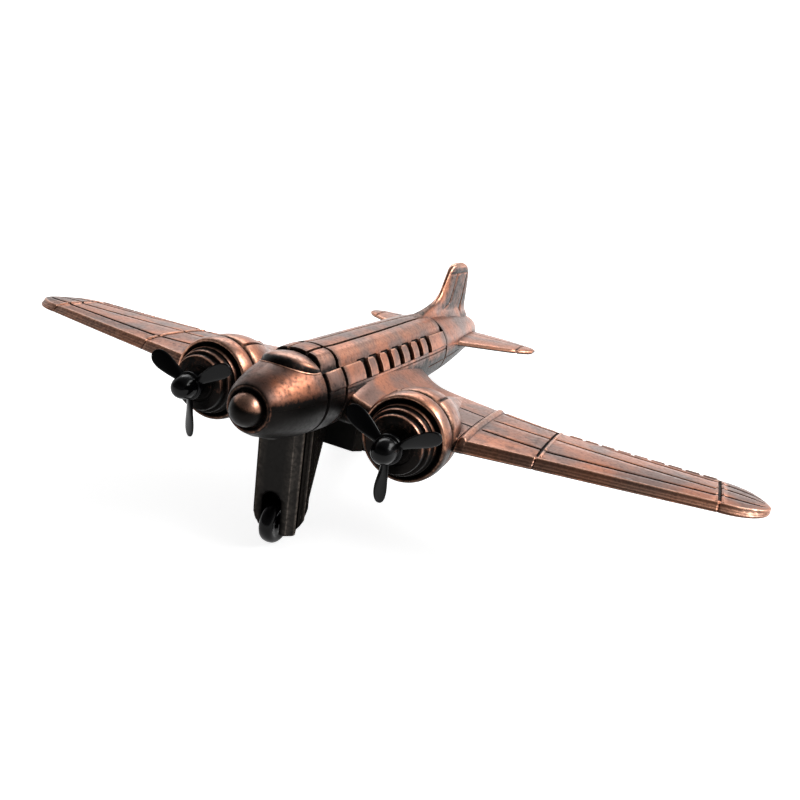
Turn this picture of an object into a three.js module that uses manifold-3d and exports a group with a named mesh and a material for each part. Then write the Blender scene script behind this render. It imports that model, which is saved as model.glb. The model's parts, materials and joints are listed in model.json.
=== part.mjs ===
// Die-cast desk model of a twin-engine propeller airliner with a pencil sharpener under its belly.
// Millimetres. The airframe is drawn in its own frame: +X to port, -Y towards the nose, +Z up, height 0 at the
// propeller shafts. At the end it is pitched nose-up, as it stands on its front wheel and on the sharpener's
// rear edge, and moved so that the origin lies on the table under the centre of its outline.

import * as THREE from 'three';
import { mergeVertices } from 'three/addons/utils/BufferGeometryUtils.js';
import Module from 'manifold-3d';

const wasm = await Module();
wasm.setup();
const { degToRad, lerp } = THREE.MathUtils;

// ---------------------------------------------------------------- driving dimensions
const HALF_SPAN = 60;
const GAP = 0.08; // play between pieces that touch
const WALL = 1.3; // wall of the hollow fuselage castings

const AXIS_Z = 2.9; // fuselage centreline
const RING_Y = -33.9; // the nose cap's seat
const RING_R = 2.95;
const CAP_LENGTH = 2.5;
const TAIL_Y = 50.2;
const SPLIT_Z = 3.4; // parting plane of the upper and lower castings
const WING_FRONT_Y = -18.6; // the wing centre meets the nose casting here
const WING_REAR_Y = 9.2; // and the tail casting here

const JOINT_X = 21.25; // outer wing panels start here
const TIP_LINE_X = 53.8;
const TONGUE = { y: [-12.5, -4.5], half: 0.5, depth: 3.6 }; // joins an outer panel to the centre
const TAB = { count: 9, first: 33.1, step: 2.32, width: 1.85 }; // hinge tabs on the trailing edge

const SHAFT_X = 15.1; // propeller shafts, at height 0
const COWL_R = 6.08;
const COWL_FRONT_Y = -20.6;
const COWL_BACK_Y = -17.85;
const COWL_BORE_R = 5.2;
const ENGINE_FACE_Y = -23.4;
const ENGINE_PLUG_R = 3.2;
const BLADE_Y = -25;
const BLADE_TIP_R = 7.35;
const FIRST_BLADE = { port: 28.6, starboard: 35.1 }; // degrees from +X towards +Z at rest
const PIN_R = 0.6;

const SCREW = { head: 1.4, shank: 0.75, hole: 0.85 };
const LEG_SCREW_Y = -21.2;
const NOSE_SCREW = { y: -28.2, headZ: -2, meetZ: 1.6, topZ: 7 };
const TAIL_SCREW = { y: 13.6, headZ: -3, meetZ: 1.7, topZ: 8.2 };
const SHARPENER_SCREW_Y = -21;
const LUG = { half: 2, front: [0.1, 1.3], rear: [0.4, 1.6] }; // wing centre's lugs, between the castings
const BOSS_R = 1.9;

const LEG_HALF = 3.4;
const WHEEL = { y: -23.4, z: -15.8, radius: 3.2, half: 1.05 };
const WHEEL_SLOT_HALF = 1.5;

const SHARPENER = { mouthY: 9, mouthZ: -6.7, slope: 3, length: 24, half: 5.5, bladeSlope: 11.4 };
const SHARPENER_WIDTH = { front: 6, rear: 7.5 }; // half widths
const PENCIL_R = 4.1;
const BLADE = { x: [-0.3, 5.5], y: [-22.4, -1.4], thick: 0.5, recess: 0.85 };
const BLADE_SCREW = { x: 3.9, y: -12.5 };

// ---------------------------------------------------------------- materials
const finish = (color, roughness, metalness) => new THREE.MeshStandardMaterial({ color, roughness, metalness });
const copper = finish(0x9c5f49, 0.42, 0.9); // antique copper plating
const darkCopper = finish(0x3b302b, 0.5, 0.85); // the same plating left nearly black
const blackPlastic = finish(0x0d0d0e, 0.28, 0);
const steel = finish(0x9a9ba0, 0.3, 1);

// ---------------------------------------------------------------- from three.js geometry to solids and back
function solid(geometry) {
  const bare = geometry.clone();
  bare.deleteAttribute('normal');
  bare.deleteAttribute('uv');
  const merged = mergeVertices(bare, 1e-4);
  return new wasm.Manifold(new wasm.Mesh({
    numProp: 3,
    vertProperties: merged.attributes.position.array,
    triVerts: Uint32Array.from(merged.index.array),
  }));
}

function piece(name, shape, material) {
  const { vertProperties, triVerts } = shape.getMesh();
  const indexed = new THREE.BufferGeometry();
  indexed.setAttribute('position', new THREE.BufferAttribute(vertProperties, 3));
  indexed.setIndex(new THREE.BufferAttribute(triVerts, 1));
  const geometry = indexed.toNonIndexed();
  geometry.computeVertexNormals();
  const mesh = new THREE.Mesh(geometry, material);
  mesh.name = name;
  return mesh;
}

const joined = (shapes) => shapes.reduce((whole, next) => whole.add(next));
const outlineOf = (points) => new THREE.Shape(points.map(([a, b]) => new THREE.Vector2(a, b)));

// A box between two corners; their coordinates may come in either order.
function box(corner, opposite) {
  const size = corner.map((value, i) => Math.abs(value - opposite[i]));
  const centre = corner.map((value, i) => (value + opposite[i]) / 2);
  return solid(new THREE.BoxGeometry(...size).translate(...centre));
}

// A body of revolution about a line along Y. The profile is [radius, y] pairs.
function turned(profile, x, z, sides) {
  const points = profile.map(([radius, y]) => new THREE.Vector2(radius, y));
  return solid(new THREE.LatheGeometry(points, sides).translate(x, 0, z));
}

// A round bar between two points.
function bar(from, to, radius, sides = 12) {
  const start = new THREE.Vector3(...from);
  const run = new THREE.Vector3(...to).sub(start);
  const turn = new THREE.Quaternion().setFromUnitVectors(new THREE.Vector3(0, 1, 0), run.clone().normalize());
  const middle = start.clone().addScaledVector(run, 0.5);
  const geometry = new THREE.CylinderGeometry(radius, radius, run.length(), sides);
  return solid(geometry.applyQuaternion(turn).translate(middle.x, middle.y, middle.z));
}

// A plate whose outline is [y, z] points, from x = -half to x = half.
function sidePlate(outline, half) {
  const geometry = new THREE.ExtrudeGeometry(outlineOf(outline), { depth: 2 * half, bevelEnabled: false });
  return solid(geometry.applyMatrix4(new THREE.Matrix4().set(
    0, 0, 1, -half,
    1, 0, 0, 0,
    0, 1, 0, 0,
    0, 0, 0, 1,
  )));
}

// V grooves along lines of points, which lie GROOVE_LIFT above the skin.
const GROOVE_LIFT = 0.12;
function grooves(paths, radius) {
  return joined(paths.flatMap((path) => path.slice(1).map((point, i) => bar(path[i], point, radius, 4))));
}

const screwHole = (y, fromZ, toZ) => bar([0, y, fromZ], [0, y, toZ], SCREW.hole);

// A slotted screw along Z: its head ends at headZ, and its shank runs to tipZ.
function screw(name, y, headZ, tipZ) {
  const down = Math.sign(headZ - tipZ);
  const shape = bar([0, y, headZ], [0, y, headZ - down], SCREW.head)
    .add(bar([0, y, headZ - 0.7 * down], [0, y, tipZ], SCREW.shank));
  const slot = box([-2, y - 0.2, headZ + down], [2, y + 0.2, headZ - 0.45 * down]);
  return piece(name, shape.subtract(slot), steel);
}

// ---------------------------------------------------------------- wing-like bodies
// A body along X. Each station is { x, lead, trail, z, thick }: leading and trailing edge, middle height and
// thickness. The section has a blunt round nose and a thinner tail: `side` is 1 halfway along the chord.
const sectionRise = (side, share) => Math.sign(side) * Math.abs(side) ** 0.6 * (1 - 0.45 * share ** 2);

function foil(stations, sides = 16) {
  const geometry = new THREE.CylinderGeometry(1, 1, 1, sides, stations.length - 1);
  const position = geometry.attributes.position;
  for (let i = 0; i < position.count; i += 1) {
    const station = stations[Math.round((0.5 - position.getY(i)) * (stations.length - 1))];
    const share = (1 - position.getZ(i)) / 2;
    const y = lerp(station.lead, station.trail, share);
    position.setXYZ(i, station.x, y, station.z + sectionRise(position.getX(i), share) * station.thick / 2);
  }
  return solid(geometry);
}

// Height of such a body's upper surface.
function foilTop(stations, x, y) {
  const next = Math.max(1, stations.findIndex((station) => station.x >= x));
  const [inner, outer] = [stations[next - 1], stations[next]];
  const at = (key) => lerp(inner[key], outer[key], (x - inner.x) / (outer.x - inner.x));
  const share = (y - at('lead')) / (at('trail') - at('lead'));
  const side = Math.sqrt(Math.max(0, 1 - (1 - 2 * share) ** 2));
  return at('z') + sectionRise(side, share) * at('thick') / 2;
}

const mirrored = (stations) => stations.map((station) => ({ ...station, x: -station.x })).reverse();
const bothSides = (stations) => [...mirrored(stations), ...stations];

// ---------------------------------------------------------------- sharpener, in its own frame
// The pencil goes in along Y, from the mouth at y = 0. The blade face is underneath.
const bladeRise = SHARPENER.length * Math.tan(degToRad(SHARPENER.bladeSlope));
const bladeFaceZ = (y) => -SHARPENER.half - (y / SHARPENER.length) * bladeRise;

function sharpenerBlock(grow) {
  const back = -SHARPENER.length - grow;
  const top = SHARPENER.half + grow;
  const { front, rear } = SHARPENER_WIDTH;
  const side = sidePlate([[grow, -top], [grow, top], [back, top], [back, bladeRise - top]], 9);
  const plan = outlineOf([[-front - grow, back], [front + grow, back], [rear + grow, grow], [-rear - grow, grow]]);
  const prism = new THREE.ExtrudeGeometry(plan, { depth: 20, bevelEnabled: false }).translate(0, 0, -10);
  return side.intersect(solid(prism));
}

// A slab that follows the blade face, from height `low` above it to height `high`.
function bladeSlab([x0, x1], [y0, y1], low, high) {
  const slab = sidePlate([
    [y0, bladeFaceZ(y0) + low], [y1, bladeFaceZ(y1) + low],
    [y1, bladeFaceZ(y1) + high], [y0, bladeFaceZ(y0) + high],
  ], (x1 - x0) / 2);
  return slab.translate([(x0 + x1) / 2, 0, 0]);
}

function sharpenerBody() {
  const bore = turned([[0, -24.6], [0.5, -24.6], [0.5, -21], [PENCIL_R, -3.2], [PENCIL_R, 0.1], [0, 0.1]], 0, 0, 20);
  const bladeBed = bladeSlab(
    [BLADE.x[0] - GAP, BLADE.x[1] + GAP], [BLADE.y[0] - GAP, BLADE.y[1] + GAP], -2, BLADE.recess,
  );
  const chipSlot = bladeSlab([-3.4, BLADE.x[0]], [-20.5, -4], -2, 3.4);
  const screwBore = bar([BLADE_SCREW.x, BLADE_SCREW.y, -9], [BLADE_SCREW.x, BLADE_SCREW.y, 2.6], SCREW.hole);
  let shape = sharpenerBlock(0).subtract(bore)
    .subtract(bladeBed)
    .subtract(chipSlot)
    .subtract(screwBore)
    .subtract(screwHole(SHARPENER_SCREW_Y, 1.6, 9));
  for (let i = 0; i < 8; i += 1) { // grip ribs on both sides
    const y = -20.5 + 2.4 * i;
    const flank = lerp(SHARPENER_WIDTH.rear, SHARPENER_WIDTH.front, -y / SHARPENER.length);
    for (const side of [-1, 1]) {
      shape = shape.subtract(box([side * (flank - 0.4), y - 0.45, -9], [side * 9, y + 0.45, 4.2]));
    }
  }
  return piece('sharpener_body', shape, darkCopper);
}

function sharpenerBlade() {
  const top = BLADE.recess - GAP;
  const hole = bar([BLADE_SCREW.x, BLADE_SCREW.y, -9], [BLADE_SCREW.x, BLADE_SCREW.y, 2], 0.95);
  return piece('sharpener_blade', bladeSlab(BLADE.x, BLADE.y, top - BLADE.thick, top).subtract(hole), steel);
}

function bladeScrew() {
  const { x, y } = BLADE_SCREW;
  const seat = bladeFaceZ(y) + BLADE.recess - BLADE.thick - 0.45; // clear of the sloping blade
  const shape = bar([x, y, seat - 0.6], [x, y, seat], 1.3).add(bar([x, y, seat], [x, y, 2], SCREW.shank));
  return piece('blade_screw', shape.subtract(box([x - 2, y - 0.18, seat - 2], [x + 2, y + 0.18, seat - 0.3])), steel);
}

const sharpener = new THREE.Group();
sharpener.position.set(0, SHARPENER.mouthY, SHARPENER.mouthZ);
sharpener.rotation.x = -degToRad(SHARPENER.slope);
sharpener.updateMatrix();
const sharpenerRoom = () => sharpenerBlock(GAP).transform(sharpener.matrix.toArray());

// ---------------------------------------------------------------- fuselage
const FUSELAGE_PROFILE = [ // radius against y, from the nose cap's seat to the tail
  [0, RING_Y], [RING_R, RING_Y], [3.7, -32.6], [4.9, -28.8], [5.5, -25.4], [5.95, -19], [6, 11], [5.5, 24],
  [4.45, 36], [3.4, 44], [2.2, 48.4], [1, 49.9], [0, TAIL_Y],
];
const BODY_SIDES = 24;
const hull = (grow = 0) => turned(
  FUSELAGE_PROFILE.map(([radius, y]) => [radius ? Math.max(radius + grow, 0.2) : 0, y]),
  0,
  AXIS_Z,
  BODY_SIDES,
);
const cavity = hull(-WALL).intersect(box([-9, RING_Y + WALL, -9], [9, 46, 20]));
const shell = hull().subtract(cavity);

// A ring groove round the fuselage, above height fromZ.
const hoop = (y, width, depth, fromZ) => box([-9, y - width / 2, fromZ], [9, y + width / 2, 20]).subtract(hull(-depth));

function cockpitBrow() {
  const brow = turned([
    [0, -29.1], [4.75, -29.1], [5.45, -28.2], [5.9, -27.2], [6.2, -25.5], [6, -24.7], [0, -24.7],
  ], 0, AXIS_Z, BODY_SIDES);
  return brow.intersect(box([-5.4, -31, AXIS_Z + 2.9], [5.4, -24, 12])).subtract(cavity);
}

function fin() {
  const outline = new THREE.Shape();
  outline.moveTo(14, AXIS_Z + 5);
  outline.lineTo(15, AXIS_Z + 6.2);
  outline.quadraticCurveTo(25, 9.7, 27.6, 12);
  outline.lineTo(30.2, 16);
  outline.quadraticCurveTo(31.2, 17.5, 33.6, 17.5);
  outline.lineTo(37.6, 17.5);
  outline.quadraticCurveTo(41, 17.3, 41.9, 15);
  outline.lineTo(44.1, 6.3);
  outline.lineTo(43.6, 4.9);
  const blade = sidePlate(outline.getPoints(4).map((point) => [point.x, point.y]), 0.85);
  const lines = [[[31.5, 9], [34.6, 20]], [[38.6, 8], [40.2, 20]]];
  return blade.subtract(grooves(
    lines.flatMap(([low, high]) => [-1, 1].map((side) => [[side * 0.95, ...low], [side * 0.95, ...high]])),
    0.3,
  ));
}

function fuselageUpper() {
  const core = hull(-0.6);
  const windows = Array.from({ length: 7 }, (_, i) => -12.95 + 3.99 * i)
    .map((y) => box([-9, y - 0.85, 4.5], [9, y + 0.85, 6.9]).subtract(core));
  const topLines = [-1, 1].map((side) => box([side * 1.35, -22.3, 5], [side * 1.75, 27, 20]).subtract(hull(-0.35)));
  let shape = shell.intersect(box([-9, -40, SPLIT_Z + GAP / 2], [9, 60, 20]))
    .add(cockpitBrow())
    .subtract(joined(windows))
    .subtract(joined(topLines))
    .subtract(joined([hoop(-23.9, 0.6, 0.5, 5), hoop(-19.6, 0.6, 0.4, 5), hoop(20.2, 0.5, 0.4, 5)]))
    .add(fin())
    .subtract(tailplaneSolid(GAP));
  for (const { y, meetZ, topZ } of [NOSE_SCREW, TAIL_SCREW]) {
    const boss = bar([0, y, meetZ], [0, y, topZ], BOSS_R).intersect(hull(-0.3));
    shape = shape.add(boss).subtract(screwHole(y, -5, topZ - 1.2));
  }
  return piece('fuselage_upper', shape.subtract(noseSocket()), copper);
}

// The lower half of the shell between two planes, with a boss for the screw that comes up from below.
function lowerShell(fromY, toY, { y, headZ }, bossTop) {
  const boss = bar([0, y, headZ - 0.6], [0, y, bossTop], 2.3).intersect(hull());
  return shell.intersect(box([-9, fromY, -9], [9, toY, SPLIT_Z - GAP / 2])).add(boss)
    .subtract(screwHole(y, -9, 3))
    .subtract(bar([0, y, -9], [0, y, headZ + 1 + GAP], SCREW.head + GAP));
}

function noseLower() {
  const floor = bar([0, LEG_SCREW_Y, -2.6], [0, LEG_SCREW_Y, LUG.front[0] - GAP], BOSS_R).intersect(hull());
  const shape = lowerShell(-40, WING_FRONT_Y - GAP, NOSE_SCREW, NOSE_SCREW.meetZ - GAP).add(floor)
    .subtract(screwHole(LEG_SCREW_Y, -9, 3))
    .subtract(noseSocket());
  return piece('nose_lower', shape, darkCopper);
}

function tailLower() {
  const shape = lowerShell(WING_REAR_Y + GAP, 60, TAIL_SCREW, LUG.rear[0] - GAP)
    .subtract(tailplaneSolid(GAP))
    .subtract(sharpenerRoom());
  return piece('tail_lower', shape, darkCopper);
}

const noseSocket = () => bar([0, RING_Y - 1, AXIS_Z], [0, RING_Y + 1, AXIS_Z], 1);

function noseCap() {
  const dome = Array.from({ length: 6 }, (_, i) => (i / 5) * (Math.PI / 2))
    .map((angle) => [(RING_R - 0.3) * Math.sin(angle), RING_Y - GAP - CAP_LENGTH * Math.cos(angle)]);
  const shape = turned([...dome, [0, RING_Y - GAP]], 0, AXIS_Z, 16)
    .add(bar([0, RING_Y - 0.5, AXIS_Z], [0, RING_Y + 0.9, AXIS_Z], 1 - GAP));
  return piece('nose_cap', shape, copper);
}

// ---------------------------------------------------------------- wings
const ROOT = { x: JOINT_X, lead: -17.9, trail: 2.8, z: 0.15, thick: 2.4 };
const TIP_ROOT = { x: TIP_LINE_X, lead: -12.3, trail: -1, z: 0.45, thick: 1.5 };
const TIP_Y = -6.85;
const TIP_STATIONS = [32, 58, 78, 90].map((degrees) => { // the tip closes in an ellipse
  const shrink = Math.max(Math.cos(degToRad(degrees)), 0.03);
  return {
    x: lerp(TIP_LINE_X, HALF_SPAN, Math.sin(degToRad(degrees))),
    lead: lerp(TIP_Y, TIP_ROOT.lead, shrink),
    trail: lerp(TIP_Y, TIP_ROOT.trail, shrink),
    z: 0.5,
    thick: 1.4 - 0.6 * (degrees / 90) ** 6,
  };
});
const WING_STATIONS = [
  ROOT,
  { x: 31.6, lead: -16.1, trail: 0.2, z: 0.25, thick: 2.1 },
  { x: 42.5, lead: -14.3, trail: -0.6, z: 0.35, thick: 1.8 },
  TIP_ROOT,
  ...TIP_STATIONS,
];
const WING_LINES = [ // panel lines, as x, y points
  [[31.6, -15], [31.6, -11], [31.6, -1]],
  [[TIP_LINE_X, -11.6], [TIP_LINE_X, -8], [TIP_LINE_X, -2]],
  [[22.8, -5], [31.2, -5.9]],
  [[22.8, -11.1], [31.2, -11.8]],
  [[32.2, -5.4], [53.2, -6.6]],
  [[32.2, -12.1], [53.2, -9]],
];

function outerWing(side, name) {
  const orient = (stations) => (side > 0 ? stations : mirrored(stations));
  const start = JOINT_X + GAP;
  const rib = [start, start + 1.2].map((x) => ({ ...ROOT, x, lead: -18.2, trail: 3.2, thick: 3.3 }));
  const panel = foil(orient([{ ...ROOT, x: start }, ...WING_STATIONS.slice(1)])).subtract(grooves(
    WING_LINES.map((line) => line.map(([x, y]) => [side * x, y, foilTop(WING_STATIONS, x, y) + GROOVE_LIFT])),
    0.42,
  ));
  const tongue = box(
    [side * (JOINT_X - TONGUE.depth), TONGUE.y[0], -TONGUE.half],
    [side * 22, TONGUE.y[1], TONGUE.half],
  );
  const tabs = Array.from({ length: TAB.count }, (_, i) => TAB.first + TAB.step * i).map((x) => {
    const edge = lerp(0.15, -1, (x - 31.6) / 22.2);
    return box([side * x, edge - 1.4, -0.1], [side * (x + TAB.width), edge + 0.35, 0.9]);
  });
  return piece(name, joined([panel, foil(orient(rib)), tongue, ...tabs]), copper);
}

const NACELLE_PROFILE = [
  [0, COWL_BACK_Y + GAP], [5.7, COWL_BACK_Y + GAP], [6.02, -16.4], [5.45, -13], [4.5, -10.5], [3.5, -8.2], [2.1, -2.8],
  [0.9, 2.4], [0, 5],
];
const CENTRE_PLATE = [{ x: 11, lead: -17.9, trail: 5.6, z: 0.1, thick: 3.2 }, { ...ROOT, x: JOINT_X - 0.02 }];
const ROOT_FILLET = [ // sweeps from the fuselage side down to the wing
  { x: 5.6, lead: WING_FRONT_Y, trail: WING_REAR_Y - 0.2, z: 1.3, thick: 6.6 },
  { x: 7.4, lead: -18.2, trail: 8, z: 0.8, thick: 4.9 },
  { x: 9, lead: -17.9, trail: 7, z: 0.4, thick: 3.8 },
  { x: 11.5, lead: -17.7, trail: 5.7, z: 0.2, thick: 2.8 },
];

function wingCentre() {
  const belly = hull().add(foil(bothSides(ROOT_FILLET)))
    .intersect(box([-13, WING_FRONT_Y, -9], [13, WING_REAR_Y, SPLIT_Z - GAP / 2]));
  const lugs = [
    box([-LUG.half, WING_FRONT_Y + 1, LUG.front[0]], [LUG.half, LEG_SCREW_Y - 1.9, LUG.front[1]]),
    box([-LUG.half, WING_REAR_Y - 1, LUG.rear[0]], [LUG.half, TAIL_SCREW.y + 1.9, LUG.rear[1]]),
  ];
  let shape = joined([foil(bothSides(CENTRE_PLATE)), belly, ...lugs])
    .subtract(box([-4.2, WING_FRONT_Y + 2, 2], [4.2, WING_REAR_Y - 2, 9]))
    .subtract(screwHole(LEG_SCREW_Y, -1, 3))
    .subtract(screwHole(TAIL_SCREW.y, -1, 3));
  for (const side of [-1, 1]) {
    const shaft = side * SHAFT_X;
    const tongueSlot = box(
      [side * (JOINT_X - TONGUE.depth - 0.2), TONGUE.y[0] - GAP, -TONGUE.half - GAP],
      [side * 22, TONGUE.y[1] + GAP, TONGUE.half + GAP],
    );
    shape = shape.add(turned(NACELLE_PROFILE, shaft, 0, 20))
      .subtract(bar([shaft, COWL_BACK_Y - 2, 0], [shaft, -14.5, 0], ENGINE_PLUG_R + 2 * GAP, 16))
      .subtract(tongueSlot);
  }
  const hole = screwHole(SHARPENER_SCREW_Y, 0, 20).transform(sharpener.matrix.toArray());
  return piece('wing_centre', shape.subtract(sharpenerRoom()).subtract(hole), copper);
}

// ---------------------------------------------------------------- tailplane
const TAILPLANE_Z = 3.4;
const TAILPLANE_STATIONS = [
  { x: 2.6, lead: 26.2, trail: 43.3, z: TAILPLANE_Z, thick: 1.5 },
  { x: 9.4, lead: 30.2, trail: 42.8, z: TAILPLANE_Z, thick: 1.35 },
  { x: 14.4, lead: 33.4, trail: 41.7, z: TAILPLANE_Z, thick: 1.2 },
  { x: 16.6, lead: 35.2, trail: 40.9, z: TAILPLANE_Z, thick: 1.1 },
  { x: 17.6, lead: 36.8, trail: 39.8, z: TAILPLANE_Z, thick: 1 },
];

function tailplaneSolid(grow) {
  return foil(bothSides(TAILPLANE_STATIONS.map((station) => ({
    ...station, lead: station.lead - grow, trail: station.trail + grow, thick: station.thick + 3 * grow,
  }))));
}

function tailplane() {
  const lines = [-1, 1].map((side) => [6, 10, 15]
    .map((x) => [side * x, 38.6, foilTop(TAILPLANE_STATIONS, x, 38.6) + GROOVE_LIFT]));
  return piece('tailplane', tailplaneSolid(0).subtract(grooves(lines, 0.42)), copper);
}

// ---------------------------------------------------------------- engines and propellers
const cowlRing = (side, name) => piece(name, turned([
  [COWL_BORE_R, COWL_BACK_Y], [COWL_BORE_R, -20], [5.6, COWL_FRONT_Y], [5.9, -20.1], [COWL_R, -18.8],
  [5.85, COWL_BACK_Y], [COWL_BORE_R, COWL_BACK_Y],
], side * SHAFT_X, 0, 24), copper);

// A stepped engine face with a plug that fits the nacelle.
function engine(side, name) {
  const flange = COWL_BORE_R - GAP;
  const plug = ENGINE_PLUG_R - GAP;
  const shape = turned([
    [0, ENGINE_FACE_Y], [3.9, ENGINE_FACE_Y], [3.95, -22.3], [4.45, -22.3], [4.5, -21.2], [4.8, -21.2],
    [4.82, -19.3], [flange, -19.3], [flange, COWL_BACK_Y], [plug, COWL_BACK_Y], [plug, -15], [0, -15],
  ], side * SHAFT_X, 0, 20);
  const pinHole = bar([side * SHAFT_X, -30, 0], [side * SHAFT_X, -17.8, 0], PIN_R + GAP);
  return piece(name, shape.subtract(pinHole), darkCopper);
}

// A fixed pin with a barbed front end that the propeller snaps over.
function propellerPin(side, name) {
  const x = side * SHAFT_X;
  const shape = bar([x, -26.9, 0], [x, -18, 0], PIN_R).add(bar([x, -26.9, 0], [x, -26.3, 0], PIN_R + 0.25));
  return piece(name, shape, steel);
}

const BLADE_STATIONS = [ // radius from the shaft, chord, thickness and pitch in degrees
  { r: 1, chord: 1, thick: 0.9, pitch: 42 },
  { r: 3.8, chord: 2.1, thick: 0.6, pitch: 32 },
  { r: 5.4, chord: 2.45, thick: 0.5, pitch: 27 },
  { r: 6.6, chord: 2.05, thick: 0.42, pitch: 24 },
  { r: 7.15, chord: 1.1, thick: 0.36, pitch: 23 },
  { r: BLADE_TIP_R, chord: 0.4, thick: 0.3, pitch: 23 },
];

// One blade, turned to its angle from +X towards +Z.
function blade(degrees) {
  const geometry = new THREE.CylinderGeometry(1, 1, 1, 8, BLADE_STATIONS.length - 1);
  const position = geometry.attributes.position;
  for (let i = 0; i < position.count; i += 1) {
    const station = BLADE_STATIONS[Math.round((0.5 - position.getY(i)) * (BLADE_STATIONS.length - 1))];
    const pitch = -degToRad(station.pitch);
    const across = position.getZ(i) * station.chord / 2;
    const through = position.getX(i) * station.thick / 2;
    const y = across * Math.sin(pitch) + through * Math.cos(pitch);
    position.setXYZ(i, station.r, BLADE_Y + y, across * Math.cos(pitch) - through * Math.sin(pitch));
  }
  return solid(geometry.rotateY(-degToRad(degrees)));
}

function propeller(side, firstBlade, name) {
  const hub = turned([
    [0, -28.1], [0.9, -27.9], [1.5, -27.1], [1.7, -26.1], [1.7, -25.55], [2, -25.45], [2, -24.6], [1.5, -24.5],
    [1.5, -23.6], [0, -23.6],
  ], 0, 0, 16);
  const shape = joined([hub, ...[0, 120, 240].map((step) => blade(firstBlade + step))])
    .subtract(bar([0, -26.7, 0], [0, -20, 0], PIN_R + 0.12))
    .subtract(bar([0, -27.1, 0], [0, -26.1, 0], PIN_R + 0.45));
  return piece(name, shape.translate([side * SHAFT_X, 0, 0]), blackPlastic);
}

// ---------------------------------------------------------------- front leg and wheel
const LEG_LEAN = -1.3 / 16.4; // the front face leans back towards its foot

function leg() {
  const profile = sidePlate([
    [-26.2, 0], [-24.9, -16.4], [-22.9, -16.7], [-22.3, -16], [-21.2, -15.4], [-20.3, -14], [-17.9, -3], [-17.9, 0],
  ], LEG_HALF);
  const plan = outlineOf([ // seen from above, with the front corners chamfered
    [-2.4, -26.3], [2.4, -26.3], [LEG_HALF, -25.3], [LEG_HALF, -16], [-LEG_HALF, -16], [-LEG_HALF, -25.3],
  ]);
  const prism = new THREE.ExtrudeGeometry(plan, { depth: 22, bevelEnabled: false }).translate(0, 0, -20)
    .applyMatrix4(new THREE.Matrix4().makeShear(0, 0, 0, 0, 0, LEG_LEAN));
  const sideGroove = sidePlate([[-24.9, 1], [-24.2, 1], [-22.9, -18], [-23.6, -18]], 5)
    .subtract(box([0.6 - LEG_HALF, -30, -20], [LEG_HALF - 0.6, -10, 5]));
  const arch = -12.4; // where the wheel slot's straight sides meet its round top
  const slot = box([-WHEEL_SLOT_HALF, -30, -20], [WHEEL_SLOT_HALF, -18.5, arch])
    .add(bar([0, -30, arch], [0, -18.5, arch], WHEEL_SLOT_HALF, 20));
  const shape = profile.intersect(solid(prism))
    .subtract(sideGroove)
    .subtract(slot)
    .subtract(bar([-9, WHEEL.y, WHEEL.z], [9, WHEEL.y, WHEEL.z], PIN_R))
    .subtract(hull(GAP))
    .subtract(screwHole(LEG_SCREW_Y, -9, 2));
  return piece('front_leg', shape, darkCopper);
}

const wheelAxle = () => piece('wheel_axle', bar([-2.9, WHEEL.y, WHEEL.z], [2.9, WHEEL.y, WHEEL.z], PIN_R - GAP), steel);

function wheel() {
  const { radius, half } = WHEEL;
  const tread = [
    [0, -half], [radius - 0.6, -half], [radius, -0.35 * half], [radius, 0.35 * half], [radius - 0.6, half], [0, half],
  ].map(([r, across]) => new THREE.Vector2(r, across));
  const disc = new THREE.LatheGeometry(tread, 28).rotateZ(-Math.PI / 2).translate(0, WHEEL.y, WHEEL.z);
  const bore = bar([-2, WHEEL.y, WHEEL.z], [2, WHEEL.y, WHEEL.z], PIN_R + 0.1);
  return piece('nose_wheel', solid(disc).subtract(bore), blackPlastic);
}

// ---------------------------------------------------------------- assembly
sharpener.add(
  sharpenerBody(),
  sharpenerBlade(),
  bladeScrew(),
  screw('sharpener_screw', SHARPENER_SCREW_Y, 8.75, 2),
);

const airframe = new THREE.Group();
airframe.add(
  fuselageUpper(),
  noseLower(),
  wingCentre(),
  tailLower(),
  noseCap(),
  tailplane(),
  outerWing(1, 'outer_wing_port'),
  outerWing(-1, 'outer_wing_starboard'),
  leg(),
  wheelAxle(),
  wheel(),
  sharpener,
  screw('nose_screw', NOSE_SCREW.y, NOSE_SCREW.headZ, 5.6),
  screw('tail_screw', TAIL_SCREW.y, TAIL_SCREW.headZ, 6.6),
  screw('leg_screw', LEG_SCREW_Y, LUG.front[1] + 1 + GAP, -8.6),
);
for (const [side, label] of [[1, 'port'], [-1, 'starboard']]) {
  airframe.add(
    cowlRing(side, `cowl_ring_${label}`),
    engine(side, `engine_${label}`),
    propellerPin(side, `propeller_pin_${label}`),
    propeller(side, FIRST_BLADE[label], `propeller_${label}`),
  );
}

// Stand it on the wheel and on the sharpener's rear edge.
const rearEdge = new THREE.Vector3(0, 0, -SHARPENER.half).applyMatrix4(sharpener.matrix);
const reach = Math.hypot(rearEdge.y - WHEEL.y, rearEdge.z - WHEEL.z);
const noseUp = Math.asin(WHEEL.radius / reach) + Math.atan2(rearEdge.z - WHEEL.z, rearEdge.y - WHEEL.y);
airframe.rotation.x = -noseUp;
airframe.updateMatrixWorld(true);
const outline = new THREE.Box3().setFromObject(airframe, true);
airframe.position.set(0, -(outline.min.y + outline.max.y) / 2, -outline.min.z);

const model = new THREE.Group();
model.name = 'airliner_sharpener';
model.add(airframe);
model.updateMatrixWorld(true);

export default model;
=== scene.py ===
import json
import bpy
import bmesh
import numpy as np
from mathutils import Matrix, Vector


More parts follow.
